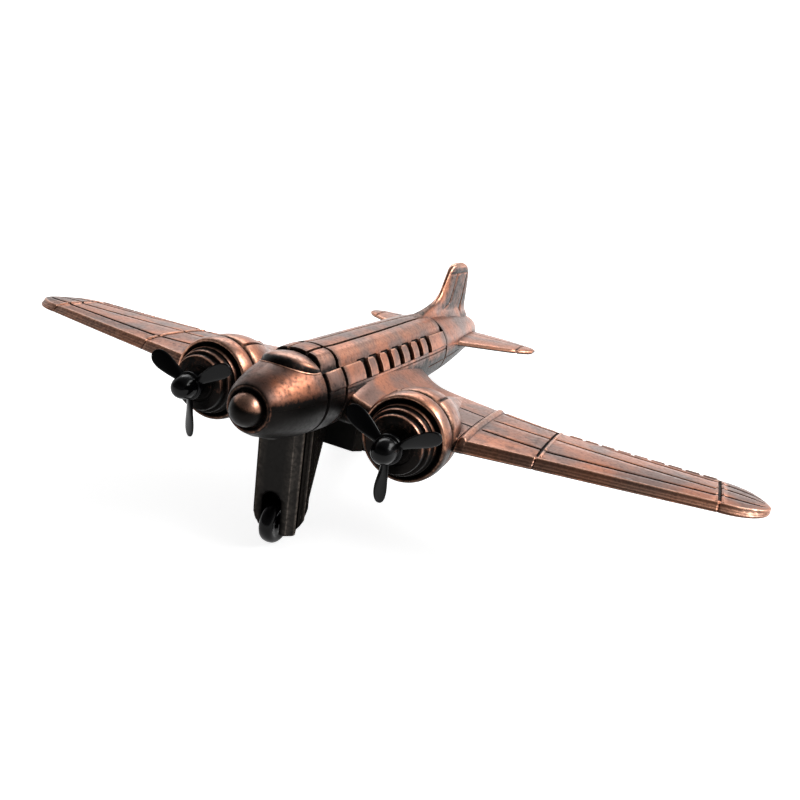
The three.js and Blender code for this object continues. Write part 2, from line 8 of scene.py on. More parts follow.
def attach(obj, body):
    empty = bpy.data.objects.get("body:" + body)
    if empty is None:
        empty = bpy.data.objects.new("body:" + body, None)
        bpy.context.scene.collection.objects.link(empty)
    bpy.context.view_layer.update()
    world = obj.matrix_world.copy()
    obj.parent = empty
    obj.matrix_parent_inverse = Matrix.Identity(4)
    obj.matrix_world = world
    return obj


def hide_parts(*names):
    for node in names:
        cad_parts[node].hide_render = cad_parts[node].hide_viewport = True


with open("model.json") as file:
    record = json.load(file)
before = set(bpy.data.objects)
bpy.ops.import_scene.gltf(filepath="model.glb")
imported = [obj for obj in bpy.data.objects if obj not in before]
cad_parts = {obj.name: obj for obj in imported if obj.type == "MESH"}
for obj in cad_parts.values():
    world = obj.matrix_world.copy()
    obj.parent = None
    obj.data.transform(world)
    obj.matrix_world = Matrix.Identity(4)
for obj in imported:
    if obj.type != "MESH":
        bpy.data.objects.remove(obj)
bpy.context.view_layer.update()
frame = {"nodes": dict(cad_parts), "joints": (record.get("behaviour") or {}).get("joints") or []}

# ------------ dimensions, in airframe millimetres
# +X port, -Y towards the nose, +Z up, height 0 at the propeller shafts.
SIDES = ((1, "port"), (-1, "starboard"))
AXIS_Z, WALL = 2.9, 1.3
RING_Y, NOSE_Y, TAIL_Y = -33.9, -33.5, 50.15
SPLIT_Z, SPLIT_GAP = 3.4, 0.012
WING_FRONT_Y, WING_REAR_Y = -18.6, 9.2
TIP_LINE_X, HALF_SPAN = 53.8, 60.0
SHAFT_X, BLADE_Y = 15.1, -25.0
FIRST_BLADE = {"port": 28.6, "starboard": 35.1}
LEG_HALF, ARCH_R, ARCH_Z = 3.4, 1.5, -12.4
WHEEL_Y, WHEEL_Z, WHEEL_R = -23.4, -15.8, 3.2

# ------------ the frame that the CAD stands in
spin = {j["name"]: j for j in frame["joints"]}["propeller_port_spin"]
tilt_cos, tilt_sin = spin["axis"][1], -spin["axis"][2]
PITCH = np.array([[1, 0, 0], [0, tilt_cos, tilt_sin], [0, -tilt_sin, tilt_cos]])
SHAFT_POINT = np.array([SHAFT_X, BLADE_Y, 0.0])
SHAFT_AT = np.array(spin["pos_m"])


def place(points):
    """Airframe millimetres to row metres."""
    return (np.asarray(points, float) - SHAFT_POINT) @ PITCH.T * 0.001 + SHAFT_AT


# ------------ curves and grids
def beside(*parts):
    """Columns of points joined into wider rows."""
    return np.concatenate(parts, axis=1)


def full_turn(sides):
    return np.linspace(0, 2 * np.pi, sides, endpoint=False)


def smooth(t):
    t = np.clip(t, 0.0, 1.0)
    return t * t * (3 - 2 * t)


def dent(distance, half, edge):
    """1 within half of a line, falling to 0 over edge."""
    return 1 - smooth((np.abs(distance) - half) / edge)


def window(value, low, high, edge):
    """1 between low and high, with soft ends outside them."""
    return smooth((value - low) / edge + 1) * smooth((high - value) / edge + 1)


def curve(xs, ys):
    """A smooth line through points that never overshoots them."""
    xs, ys = np.array(xs, float), np.array(ys, float)
    gap = np.diff(xs)
    slope = np.diff(ys) / gap
    m = np.zeros_like(xs)
    m[0], m[-1] = slope[0], slope[-1]
    same = slope[:-1] * slope[1:] > 0
    safe = np.where(same, slope[:-1] * slope[1:], 1.0)
    mean = 2 * safe / np.where(same, slope[:-1] + slope[1:], 1.0)
    m[1:-1] = np.where(same, mean, 0.0)

    def at(x):
        x = np.clip(np.asarray(x, float), xs[0], xs[-1])
        i = np.clip(np.searchsorted(xs, x, side="right") - 1, 0, len(gap) - 1)
        h = gap[i]
        t = (x - xs[i]) / h
        a = (1 + 2 * t) * (1 - t) ** 2 * ys[i] + t * (1 - t) ** 2 * h * m[i]
        return a + t * t * (3 - 2 * t) * ys[i + 1] + t * t * (t - 1) * h * m[i + 1]

    return at


def lines(low, high, step, marks):
    """Grid lines about step apart, with each mark's own lines: (centre, half, edge)."""
    own = []
    for centre, half, edge in marks:
        reach = (half, half + edge / 2, half + edge)
        own += [centre] + [centre + way * k for way in (-1, 1) for k in reach]
    own = np.array(sorted(v for v in own if low < v < high))
    base = np.linspace(low, high, max(2, int(round((high - low) / step)) + 1))
    if len(own):
        near = np.abs(base[:, None] - own[None]).min(1) < step * 0.35
        near[[0, -1]] = False
        base = base[~near]
    values = np.unique(np.round(np.concatenate([base, own]), 5))
    keep = np.concatenate([[True], np.diff(values) > 0.012])
    return values[keep]


# ------------ meshes
class Skin:
    """Closed sheets of points in airframe millimetres, each point with its patina and painted shade, and its wear
    and painted highlights.
    """

    def __init__(self):
        self.points, self.faces, self.marks, self.count = [], [], [], 0

    def sheet(self, rings, patina_and_shade=0.0, wear_and_highlight=0.0, caps=True):
        rows, cols = rings.shape[:2]
        index = self.count + np.arange(rows * cols).reshape(rows, cols)
        after = np.roll(index, -1, axis=1)
        quads = np.stack([index[:-1], after[:-1], after[1:], index[1:]], axis=-1)
        self.faces += quads.reshape(-1, 4).tolist()
        if caps:
            self.faces += [index[0, ::-1].tolist(), index[-1].tolist()]
        self.points.append(rings.reshape(-1, 3))
        marks = [np.broadcast_to(m, (rows, cols)).reshape(-1) for m in (patina_and_shade, wear_and_highlight)]
        self.marks.append(np.stack(marks, axis=-1))
        self.count += rows * cols
        return self


def shade(mesh, crease):
    """Smooth shading, with edges sharper than crease degrees left sharp."""
    mesh.polygons.foreach_set("use_smooth", [True] * len(mesh.polygons))
    mesh.set_sharp_from_angle(angle=np.radians(crease))


def add(name, data):
    """A new object in the scene."""
    thing = bpy.data.objects.new(name, data)
    bpy.context.scene.collection.objects.link(thing)
    return thing


def solid(name, skin, crease):
    """A new object from a skin, with doubled points joined and its faces turned outwards."""
    mesh = bpy.data.meshes.new(name)
    mesh.from_pydata(place(np.concatenate(skin.points)).tolist(), [], skin.faces)
    marks = np.concatenate(skin.marks)
    # Per point: patina together with painted shade, and wear together with painted highlights.
    for column, label in enumerate(("patina_and_shade", "wear_and_highlight")):
        mesh.attributes.new(label, "FLOAT", "POINT").data.foreach_set("value", marks[:, column])
    bm = bmesh.new()
    bm.from_mesh(mesh)
    bmesh.ops.remove_doubles(bm, verts=bm.verts, dist=4e-6)
    bmesh.ops.dissolve_degenerate(bm, edges=bm.edges, dist=1e-7)
    bmesh.ops.recalc_face_normals(bm, faces=bm.faces)
    bm.to_mesh(mesh)
    bm.free()
    shade(mesh, crease)
    return add(name, mesh)


def piece(name, skin, material, nodes, crease=42, body="airframe"):
    """A part of the visual model that rides on a body and stands in for CAD nodes."""
    thing = solid(name, skin, crease)
    thing.data.materials.append(material)
    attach(thing, body)
    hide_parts(*nodes)
    return thing


def round_about(profile, x, z, sides):
    """Rings about a line along Y through (x, z) from rows of (radius, y)."""
    profile = np.asarray(profile, float)
    turn = full_turn(sides)
    radius, y = profile[:, :1], np.repeat(profile[:, 1:2], sides, 1)
    return np.stack([x + radius * np.cos(turn), y, z + radius * np.sin(turn)], axis=-1)


def heights(sides, ahead=0.0):
    """Height of each corner of a ring, from -1 to 1, with the ring turned ahead by some radians."""
    return np.sin(full_turn(sides) + ahead)[None]


# ------------ materials
def shader(name):
    material = bpy.data.materials.new(name)
    material.use_nodes = True
    return material, Graph(material.node_tree)


class Graph:
    """Short ways to add nodes to one material."""

    def __init__(self, tree):
        self.tree = tree
        self.place = tree.nodes.new("ShaderNodeTexCoord").outputs["Object"]

    def node(self, kind, inputs=None, **settings):
        made = self.tree.nodes.new(kind)
        for key, value in settings.items():
            setattr(made, key, value)
        for key, value in (inputs or {}).items():
            self.feed(made.inputs[key], value)
        return made

    def feed(self, socket, value):
        if isinstance(value, bpy.types.NodeSocket):
            self.tree.links.new(value, socket)
        else:
            socket.default_value = value

    def surface(self, values):
        """Values or links for the Principled BSDF."""
        for key, value in values.items():
            self.feed(self.tree.nodes["Principled BSDF"].inputs[key], value)

    def noise(self, millimetres, detail=3.0, rough=0.55):
        made = self.node("ShaderNodeTexNoise", {"Vector": self.place, "Scale": 1000.0 / millimetres,
                                                "Detail": detail, "Roughness": rough})
        return made.outputs["Fac"]

    def math(self, operation, a, b=0.0, clamp=False):
        made = self.node("ShaderNodeMath", operation=operation, use_clamp=clamp)
        self.feed(made.inputs[0], a)
        self.feed(made.inputs[1], b)
        return made.outputs[0]

    def times(self, a, b, clamp=False):
        return self.math("MULTIPLY", a, b, clamp)

    def plus(self, a, b, clamp=False):
        return self.math("ADD", a, b, clamp)

    def minus(self, a, b):
        return self.math("SUBTRACT", a, b)

    def span(self, value, low, high, to_low=0.0, to_high=1.0):
        made = self.node("ShaderNodeMapRange", interpolation_type="SMOOTHSTEP", inputs={
            "Value": value, "From Min": low, "From Max": high, "To Min": to_low, "To Max": to_high})
        return made.outputs["Result"]

    def mix(self, factor, a, b):
        made = self.node("ShaderNodeMix", data_type="RGBA")
        self.feed(made.inputs["Factor"], factor)
        for socket, colour in ((made.inputs[6], a), (made.inputs[7], b)):
            self.feed(socket, (*colour, 1.0) if isinstance(colour, tuple) else colour)
        return made.outputs[2]

    def mark(self, name):
        return self.node("ShaderNodeAttribute", attribute_name=name, attribute_type="GEOMETRY").outputs["Fac"]

    def bump(self, height, millimetres, strength):
        made = self.node("ShaderNodeBump", {"Height": height, "Strength": strength,
                                            "Distance": millimetres * 0.001})
        return made.outputs["Normal"]


# The bright copper stands both for rubbed edges and for painted highlights; the near-black colour stands both for
# patina and for painted shade.
COPPER = (0.42, 0.160, 0.088)
DULL_COPPER = (0.20, 0.120, 0.098)
WORN_AND_HIGHLIGHT = (0.74, 0.40, 0.27)
PATINA_AND_SHADE = (0.008, 0.007, 0.0065)
BRONZE = (0.0135, 0.0128, 0.0122)
WORN_BRONZE = (0.13, 0.11, 0.095)
JET = (0.002, 0.002, 0.002)


def antique(name, darkness=0.0):
    """Antique copper plating: black patina left in the hollows, painted shade on faces turned downwards, bright
    where hands rub it and where highlights are painted.
    """
    material, g = shader(name)
    pale = darkness < 0.3
    cloud, blotch = g.noise(6.0, 3), g.noise(1.7, 4, 0.6)
    grain, speck = g.noise(0.55, 5, 0.7), g.noise(0.22, 3, 0.6)
    base = g.mix(g.span(cloud, 0.36, 0.64), COPPER, DULL_COPPER)
    base = g.mix(g.span(grain, 0.46, 0.76, 0.0, 0.65), base, (0.13, 0.075, 0.062))
    normal = g.node("ShaderNodeNewGeometry").outputs["Normal"]
    up = g.node("ShaderNodeSeparateXYZ", {"Vector": normal}).outputs["Z"]
    uneven = g.times(g.minus(blotch, 0.5), 0.7)
    # Painted shade: faces turned downwards go black, whatever light reaches them.
    under = g.span(g.plus(up, uneven), 0.30, -0.12)
    unworn = g.minus(1.0, g.times(g.mark("wear_and_highlight"), 0.8))
    under = g.times(under, unworn, clamp=True)
    hollow = g.node("ShaderNodeAmbientOcclusion", {"Distance": 0.0016}, samples=6).outputs["AO"]
    cavity = g.span(g.plus(hollow, g.times(uneven, 0.3)), 0.84, 0.42)
    black = g.math("MAXIMUM", g.math("MAXIMUM", under, cavity), g.mark("patina_and_shade"))
    black = g.plus(black, g.times(g.minus(grain, 0.50), 0.6))
    black = g.plus(black, g.span(blotch, 0.50, 0.74, 0.0, 0.32))
    black = g.plus(black, g.span(speck, 0.64, 0.74, 0.0, 0.5))
    black = g.plus(black, darkness, clamp=True)
    base = g.mix(black, base, PATINA_AND_SHADE if pale else g.mix(g.mark("patina_and_shade"), BRONZE, JET))
    rub = g.times(g.mark("wear_and_highlight"), g.span(grain, 0.34, 0.62, 1.0, 0.30), clamp=True)
    rub = g.times(rub, g.minus(1.0, g.times(under, 0.80)), clamp=True)
    base = g.mix(rub, base, WORN_AND_HIGHLIGHT if pale else WORN_BRONZE)
    rough = g.plus(g.span(grain, 0.3, 0.75, 0.28, 0.44), g.times(black, 0.10))
    rough = g.plus(rough, g.times(cavity, 0.30), clamp=True)
    height = g.plus(g.times(grain, 0.6), g.times(cloud, 1.2))
    g.surface({"Base Color": base, "Roughness": rough, "Metallic": 1.0, "Normal": g.bump(height, 0.045, 0.55)})
    if not pale:
        g.surface({"Specular Tint": (0.35, 0.34, 0.33, 1)})
    return material


def gloss_black(name):
    material, g = shader(name)
    cloud, scuff = g.noise(2.4, 3), g.noise(0.35, 4, 0.7)
    dust = g.span(scuff, 0.60, 0.80, 0.0, 0.35)
    base = g.mix(dust, (0.0012, 0.0012, 0.0015), (0.003, 0.003, 0.0035))
    g.surface({"Base Color": base, "Roughness": g.span(cloud, 0.3, 0.7, 0.12, 0.24), "Specular IOR Level": 0.13,
               "Normal": g.bump(cloud, 0.06, 0.35)})
    return material


def steel(name, clean, stained):
    material, g = shader(name)
    stretch = g.node("ShaderNodeMapping", {"Vector": g.place, "Scale": (9.0, 0.6, 9.0)}).outputs["Vector"]
    brushed = g.node("ShaderNodeTexNoise", {"Vector": stretch, "Scale": 1400.0, "Detail": 3.0}).outputs["Fac"]
    stain = g.noise(1.6, 3)
    base = g.mix(g.span(stain, 0.4, 0.75), clean, stained)
    g.surface({"Base Color": base, "Roughness": g.span(brushed, 0.3, 0.7, 0.24, 0.42), "Metallic": 1.0,
               "Normal": g.bump(brushed, 0.02, 0.4)})
    return material


copper = antique("antique_copper")
bronze = antique("dark_copper", 1.15)
black = gloss_black("gloss_black")
bright = steel("steel", (0.60, 0.60, 0.61), (0.33, 0.31, 0.29))
blackened = steel("blackened_steel", (0.035, 0.034, 0.033), (0.012, 0.011, 0.011))

# ------------ fuselage
hull_radius = curve(
    [-33.9, -32.6, -30.6, -28.8, -25.4, -19, -4, 11, 24, 36, 44, 48.4, 49.7, 50.2],
    [3.0, 3.72, 4.4, 4.9, 5.5, 5.93, 6.0, 6.0, 5.5, 4.45, 3.4, 2.2, 1.3, 0.7],
)
NOSE_RING = np.array([  # radius, y, patina, wear
    (1.7, -33.35, 1, 0), (2.42, -33.35, 1, 0), (2.48, -33.7, 1, 0), (2.62, -33.86, 1, 0),
    (2.84, -33.91, 0.9, 0.1), (3.0, -33.84, 0.85, 0), (3.09, -33.7, 0.7, 0),
])
RING_BACK_Y, RING_BORE_R, TAIL_BORE_R = -33.35, 1.6, 0.56
CROSS = {"brow": -24.0, "front": -19.6, "tail": 20.2}
GROOVE_HALF, GROOVE_EDGE, GROOVE_DEPTH = 0.23, 0.12, 0.52
SLOT_FIRST, SLOT_STEP, SLOT_COUNT, SLOT_HALF = -12.95, 3.99, 7, 0.85
SLOTS = SLOT_FIRST + SLOT_STEP * np.arange(SLOT_COUNT)
SEAM_DEG = 4.9  # the parting line
# Then the belt's line, window sill, belt top, cove top, top groove and crown.
SIDE_DEG = np.array([SEAM_DEG, 9.5, 15.0, 41.0, 53.0, 76.5, 90.0])
TOP_GROOVE = 5
SIDE_LINES = np.array([
    4.9, 6.6, 8.3, 9.0, 9.5, 10.0, 10.8, 13, 14.2, 14.8, 15.5, 17.5, 20.5, 24, 28, 32, 35, 37, 38.4, 39.4,
    40.2, 40.8, 41.4, 42.1, 43, 44.4, 46.2, 48.2, 50.2, 52, 53.5, 55, 57, 59, 61, 63, 65.5, 68, 70.5, 73,
    74.4, 75.1, 75.8, 76.5, 77.2, 77.9, 78.6, 80.5, 83.5, 86.5, 90.0,
])
LOW_LINES = np.concatenate([[4.5, 2, 0, -3, -6, -8.3, -9, -9.5, -10, -10.7, -13], -np.linspace(17, 90, 20)])


def cross_grooves(y):
    """Depth share of the ring grooves, how black they are, and how worn their lips are."""
    depth = sum(dent(y - at, GROOVE_HALF, GROOVE_EDGE) for at in CROSS.values())
    dark = sum(dent(y - at, GROOVE_HALF + 0.08, GROOVE_EDGE) for at in CROSS.values())
    lips = sum(dent(np.abs(y - at) - 0.46, 0.05, 0.14) for at in CROSS.values())
    return depth, dark, np.clip(lips, 0, 1)


def side_relief(y, a):
    """Height in mm, patina and painted shade, and wear and painted highlights of the fuselage above the parting
    line.
    """
    body = window(y, CROSS["brow"] + 0.15, CROSS["tail"] - 0.1, 0.1)
    early = 1 - smooth((y - CROSS["front"]) / 0.2)
    groove, dark, lips = cross_grooves(y)
    belt = window(a, 15.0, 40.9, 0.6) * body
    cove = smooth((a - 41.0) / 0.9) * (1 - smooth((a - 44) / 9.5)) * body
    band = np.clip(np.sin(np.pi * np.clip((a - 53) / 22.0, 0, 1)), 0, 1) * body
    long = window(y, -23.9, 27.0, 0.4)
    top = dent(a - 76.5, 1.3, 0.8) * long
    belt_line = dent(a - 9.5, 0.35, 0.7) * window(y, -18.4, CROSS["tail"] - 0.1, 0.2)
    spread = 0.42 * smooth((a - 37.2) / 4.5)
    across = np.min(np.abs(y[..., None] - SLOTS), axis=-1)
    slot = dent(across - spread, SLOT_HALF - 0.06, 0.12) * window(a, 15.2, 43.0, 0.7)
    crown = smooth((a - 44) / 24.0) * smooth((y + 24.1) / 0.1) * (1 - smooth((y + 23.6) / 8.0))
    lift = 0.38 * crown + 0.15 * belt - (0.32 + 0.12 * early) * cove + 0.16 * band - 0.38 * top - 0.14 * belt_line
    lift = lift - GROOVE_DEPTH * groove
    lift = np.where(slot > 0, lift * (1 - slot) - 0.52 * slot, lift)
    # Painted shade: the spine's top, the top of the nose, the nose's lower sides, the side ahead of the wing root
    # and the low rear sides are darkened for how light falls there.
    painted_spine_shade = 0.30 * smooth((a - 76.5) / 2.0) * body
    painted_nose_top_shade = 0.62 * smooth((a - 50) / 20.0) * (1 - smooth((y + 26.5) / 2.0)) * smooth((y + 32.6) / 4.0)
    below = 1.06 * smooth((36 - a) / 28) * (1 - smooth((y + 22) / 4))
    root = 0.9 * smooth((15.5 - a) / 4) * (1 - smooth((y + 15) / 6))
    painted_rear_low_shade = 0.5 * smooth((16 - a) / 8) * smooth((y - 2) / 10)
    nose = 0.46 * (1 - smooth((y + 25.0) / 1.5))
    shade = 0.6 * window(y, -25.3, -24.2, 0.9) * (1 - smooth((a - 55) / 15))
    patina_and_shade = np.max(np.stack([dark, 0.95 * top, 0.75 * belt_line, slot, (0.34 + 0.66 * early) * cove, painted_spine_shade,
                              painted_nose_top_shade, below, root, painted_rear_low_shade, shade, nose]), axis=0)
    rim = dent(across - spread - SLOT_HALF - 0.14, 0.05, 0.2) * window(a, 16, 40.5, 1.0) * body
    crest = dent(a - 40.4, 0.5, 1.1) * body
    # Painted highlight: the broad bright band along the upper side near 61 degrees; the crest, rims and lips are
    # rubbed wear.
    wear_and_highlight = 0.75 * crest + 0.5 * rim + 0.45 * lips + 0.25 * dent(a - 61, 3, 8) * body
    wear_and_highlight = wear_and_highlight + 0.35 * dent(np.abs(a - 76.5) - 2.1, 0.3, 0.9) * long
    return lift, np.clip(patina_and_shade, 0, 1.15), np.clip(wear_and_highlight * (1 - patina_and_shade), 0, 1)


def low_relief(y, a):
    """The same below the parting line; a runs down from it."""
    groove, dark, lips = cross_grooves(y)
    reach = dent(a, 78, 8)
    door = dent(a + 9.5, 0.5, 0.7) * (window(y, 11.6, 18.9, 0.2) + window(y, 20.6, 29.5, 0.2))
    lift = -0.34 * groove * reach - 0.16 * door
    # Painted shade: the underside of the nose goes black ahead of the wing, and the low rear of the fuselage
    # grey.
    patina_and_shade = np.maximum(np.maximum(dark * reach, 0.8 * door), 1.15 - 1.15 * smooth((y + 20) / 3))
    patina_and_shade = np.maximum(patina_and_shade, 0.5 * smooth((y - 2) / 10))
    return lift, np.clip(patina_and_shade, 0, 1.15), np.clip(0.35 * lips * reach * (1 - patina_and_shade), 0, 1)


def shell(y_lines, upper, ring=False):
    """A half shell of the fuselage: its outer skin, the split faces and its inner wall."""
    split = SPLIT_Z + (SPLIT_GAP if upper else -SPLIT_GAP) - AXIS_Z
    front = NOSE_RING if ring else NOSE_RING[:0]
    outer_r = np.concatenate([front[:, 0], hull_radius(y_lines)])
    outer_y = np.concatenate([front[:, 1], y_lines])
    inner_y, inner_r = outer_y, np.maximum(outer_r - WALL, TAIL_BORE_R)
    if ring:
        inner_y = np.maximum(outer_y, RING_BACK_Y)
        inner_r[inner_y <= RING_BACK_Y + 0.01] = RING_BORE_R
    edge_out = np.degrees(np.arcsin(split / outer_r))[:, None]
    canon = SIDE_LINES if upper else LOW_LINES
    if upper:
        actual = edge_out + (SIDE_DEG - SEAM_DEG) / (90 - SEAM_DEG) * (90 - edge_out)
        actual[:, TOP_GROOVE] += 6.5 * smooth((outer_y + 8) / 35.0)
        half = np.stack([np.interp(canon, SIDE_DEG, row) for row in actual])
        angle = beside(half, 180 - half[:, -2::-1])
    else:
        half = edge_out - (SEAM_DEG - canon) / (SEAM_DEG + 90) * (edge_out + 90)
        half[:, 0] = edge_out[:, 0]
        angle = beside(half, -180 - half[:, -2::-1])
    canon = np.concatenate([canon, canon[-2::-1]])
    y = outer_y[:, None] + 0 * canon
    lift, patina_and_shade, wear_and_highlight = (side_relief if upper else low_relief)(y, canon + 0 * y)
    lift[: len(front)] = 0
    patina_and_shade[: len(front)], wear_and_highlight[: len(front)] = front[:, 2:3], front[:, 3:]
    r = np.maximum(outer_r[:, None] + lift, abs(split) + 0.03)
    t = np.radians(angle)
    outer = np.stack([r * np.cos(t), y, AXIS_Z + r * np.sin(t)], axis=-1)
    outer[:, 0, 2] = outer[:, -1, 2] = AXIS_Z + split
    edge_in = np.degrees(np.arcsin(split / inner_r))
    t = np.radians(np.linspace((180 if upper else -180) - edge_in, edge_in, 25, axis=1))
    q = inner_r[:, None] + 0 * t
    inner = np.stack([q * np.cos(t), inner_y[:, None] + 0 * t, AXIS_Z + q * np.sin(t)], axis=-1)
    return beside(outer, inner), beside(patina_and_shade, 0 * q + 0.9), beside(wear_and_highlight, 0 * q)


CROSS_MARKS = [(at, GROOVE_HALF, GROOVE_EDGE) for at in CROSS.values()]
SLOT_SIDES = [way * k for way in (-1, 1) for k in (SLOT_HALF, SLOT_HALF + 0.33)]
SLOT_MARKS = [(at + k, 0.05, 0.09) for at in SLOTS for k in SLOT_SIDES]
DOOR_MARKS = [(at, 0.1, 0.2) for at in (11.5, 19.0, 20.6, 29.6)]

BROW_Y, BROW_HALF, BROW_LENGTH = -24.36, 4.06, 4.72
crown_radius = curve([-30, -28.4, -27.2, -26, -24.3], [5.3, 5.68, 5.88, 5.92, 5.70])


def brow():
    """The cockpit: a sill lip, a hollow windscreen under the brow, and the brow's crown."""
    turn = np.linspace(-np.pi / 2, np.pi / 2, 73)
    s, c = np.sin(turn), np.cos(turn)
    sill = np.stack([BROW_HALF * s, BROW_Y - BROW_LENGTH * c, 6.70 + 1.02 * c**2], axis=-1)
    top = np.stack([3.70 * s, BROW_Y - 2.75 * c, 0 * s], axis=-1)
    centre = np.array([0, BROW_Y, 0])

    def crown(p):
        return AXIS_Z + np.sqrt(np.maximum(crown_radius(p[:, 1]) ** 2 - p[:, 0] ** 2, 0.5))

    def at(scale, above):
        """The sill scaled about the centre, above its own height."""
        p = centre + (sill - centre) * scale
        p[:, 2] = sill[:, 2] + above
        return p

    middle, foot = at(0.0, 0.0), at(0.972, 0.02)
    middle[:, 2] = 5.4
    top[:, 2] = crown(top)
    rows = [
        (middle, 1, 0), (at(0.82, -1.3), 1, 0), (at(0.99, -0.32), 0.3, 0), (at(1.020, -0.08), 0.2, 0.3),
        (at(1.022, 0.03), 0.1, 0.8), (at(1.006, 0.09), 0.2, 0.7), (at(0.990, 0.03), 1, 0), (foot, 1, 0),
    ]
    # Painted shade on the lower half of the front roll, which faces down; painted highlights on its upper part
    # and on the crown's outer part.
    for share in np.linspace(0, 1, 12)[1:]:
        roll = foot + (top - foot) * (1 - np.cos(np.pi / 2 * share)) ** 0.9
        roll[:, 2] = foot[:, 2] + (top[:, 2] - foot[:, 2]) * np.sin(np.pi / 2 * share)
        rows.append((roll, 1 - smooth((share - 0.46) / 0.34), 0.4 * smooth((share - 0.6) / 0.3)))
    for scale in (0.95, 0.9, 0.83, 0.75, 0.66, 0.55, 0.42, 0.28, 0.14, 0.0):
        p = centre + (top - centre) * scale
        p[:, 2] = crown(p)
        rows.append((p, 0, 0.5 * smooth((scale - 0.6) / 0.4)))
    rings, patina_and_shade, wear_and_highlight = zip(*rows)
    return np.stack(rings, axis=1), np.array(patina_and_shade, float), np.array(wear_and_highlight, float)


# ------------ fin
fin_lead = curve([6.0, 8.6, 9.2, 9.9, 10.7, 12, 14, 16, 16.9, 17.3, 17.5],
                 [13, 15, 18, 22, 25.2, 27.6, 28.9, 30.2, 31.2, 32.2, 33.6])
fin_trail = curve([6.0, 6.3, 10, 13.5, 15, 16.2, 17.0, 17.5], [43.9, 44.1, 43.05, 42.2, 41.75, 40.7, 39.3, 37.2])
STRIPE_A, STRIPE_B = 0.3275, 0.6575
FIN_LINES = np.array([0, 0.01, 0.03, 0.07, 0.13, 0.2, 0.27, 0.305, 0.32, 0.335, 0.35, 0.4, 0.47, 0.54, 0.60,
                      0.635, 0.65, 0.665, 0.68, 0.74, 0.82, 0.9, 0.955, 0.985, 1.0])


def fin():
    """The fin, row by row up its height, with two stripes and a tip line in its sides."""
    z = np.concatenate([np.linspace(6.0, 8.5, 4), np.linspace(8.7, 12, 15), np.linspace(12.4, 15.2, 8),
                        [15.5, 15.62, 15.74, 15.9], np.linspace(16.1, 17.2, 8), [17.32, 17.42, 17.48, 17.5]])
    z = z[:, None]
    lead, trail = fin_lead(z), fin_trail(z)
    chord = trail - lead
    share_a = np.clip((np.interp(z, [6, 9, 17.5], [30.6, 31.5, 33.9]) - lead) / chord, 0.12, 0.45)
    share_b = np.clip((np.interp(z, [6, 8, 17.5], [38.4, 38.6, 39.8]) - lead) / chord, 0.55, 0.9)
    knots = beside(0 * z, share_a, share_b, 0 * z + 1)
    u = np.stack([np.interp(FIN_LINES, [0, STRIPE_A, STRIPE_B, 1], row) for row in knots])
    y = lead + chord * u
    body = np.clip(1 - np.abs(2 * u - 1) ** 5, 0, 1) ** 0.5
    body = np.where((u < 1e-6) | (u > 1 - 1e-6), 0.0, body)
    end = np.sqrt(np.clip(1 - ((z - 16.6) / 0.95).clip(0) ** 2, 0.02, 1))
    above_root = z - np.interp(y, [13, 44], [8.9, 6.6])
    root = 0.9 * np.exp(-above_root.clip(0) / 0.5)
    line = dent(FIN_LINES - STRIPE_A, 0.008, 0.016) * window(z, 9.5, 15.5, 0.4)
    line = np.maximum(line, dent(FIN_LINES - STRIPE_B, 0.008, 0.016) * window(z, 8.4, 15.5, 0.4))
    cap = dent(z - 15.68, 0.06, 0.12) * window(FIN_LINES, 0.06, 0.94, 0.03)
    half = 0.80 * body * end + root * (body > 0) - 0.24 * np.maximum(line, 0.6 * cap) * (body > 0.5)
    half = np.maximum(half, 0.0)
    left, right = (np.stack([side * half, y, z + 0 * y], axis=-1) for side, _ in SIDES)
    patina_and_shade = np.max(np.stack([
        0.9 * line, 0.7 * cap, 0.85 * dent(z - 9.6, 0.5, 0.9) * window(u, 0.0, 0.06, 0.04),
        0.75 * np.exp(-(above_root / 0.22) ** 2),
    ]), axis=0)
    wear_and_highlight = 0.6 * dent(u, 0.02, 0.05) + 0.4 * dent(u - 1, 0.02, 0.05) + 0.6 * smooth((z - 16.6) / 0.6)
    wear_and_highlight = wear_and_highlight * (1 - patina_and_shade)
    pairs = ((left, right), (patina_and_shade, patina_and_shade), (wear_and_highlight, wear_and_highlight))
    return [beside(near, far[:, -2:0:-1]) for near, far in pairs]


upper = Skin().sheet(*shell(lines(NOSE_Y, TAIL_Y, 1.1, CROSS_MARKS + SLOT_MARKS), True, ring=True))
piece("upper_casting", upper, copper, ["fuselage_upper"])
piece("cockpit_brow", Skin().sheet(*brow()), copper, ["fuselage_upper"], 50)
piece("tail_fin", Skin().sheet(*fin()), copper, ["fuselage_upper"], 50)
lower_nose = Skin().sheet(*shell(lines(NOSE_Y, WING_FRONT_Y - 0.02, 1.1, CROSS_MARKS), False, ring=True))
piece("lower_nose", lower_nose, copper, ["nose_lower"])
lower_tail = Skin().sheet(*shell(lines(WING_REAR_Y + 0.02, TAIL_Y, 1.1, CROSS_MARKS + DOOR_MARKS), False))
piece("lower_tail", lower_tail, copper, ["tail_lower"])

# ------------ nose cap
DOME_R, DOME_SIDES = 2.14, 48
dome = [(DOME_R * np.sin(t), -0.05 - 2.25 * np.cos(t)) for t in np.linspace(0, np.pi / 2, 18)[1:-1]]
dome = [(0.0, -2.3)] + dome
dome = np.array(dome + [(DOME_R, 0.1), (2.12, 0.3), (2.05, 0.4), (0.9, 0.4), (0.9, 0.9), (0, 0.9)]) + (0, RING_Y)
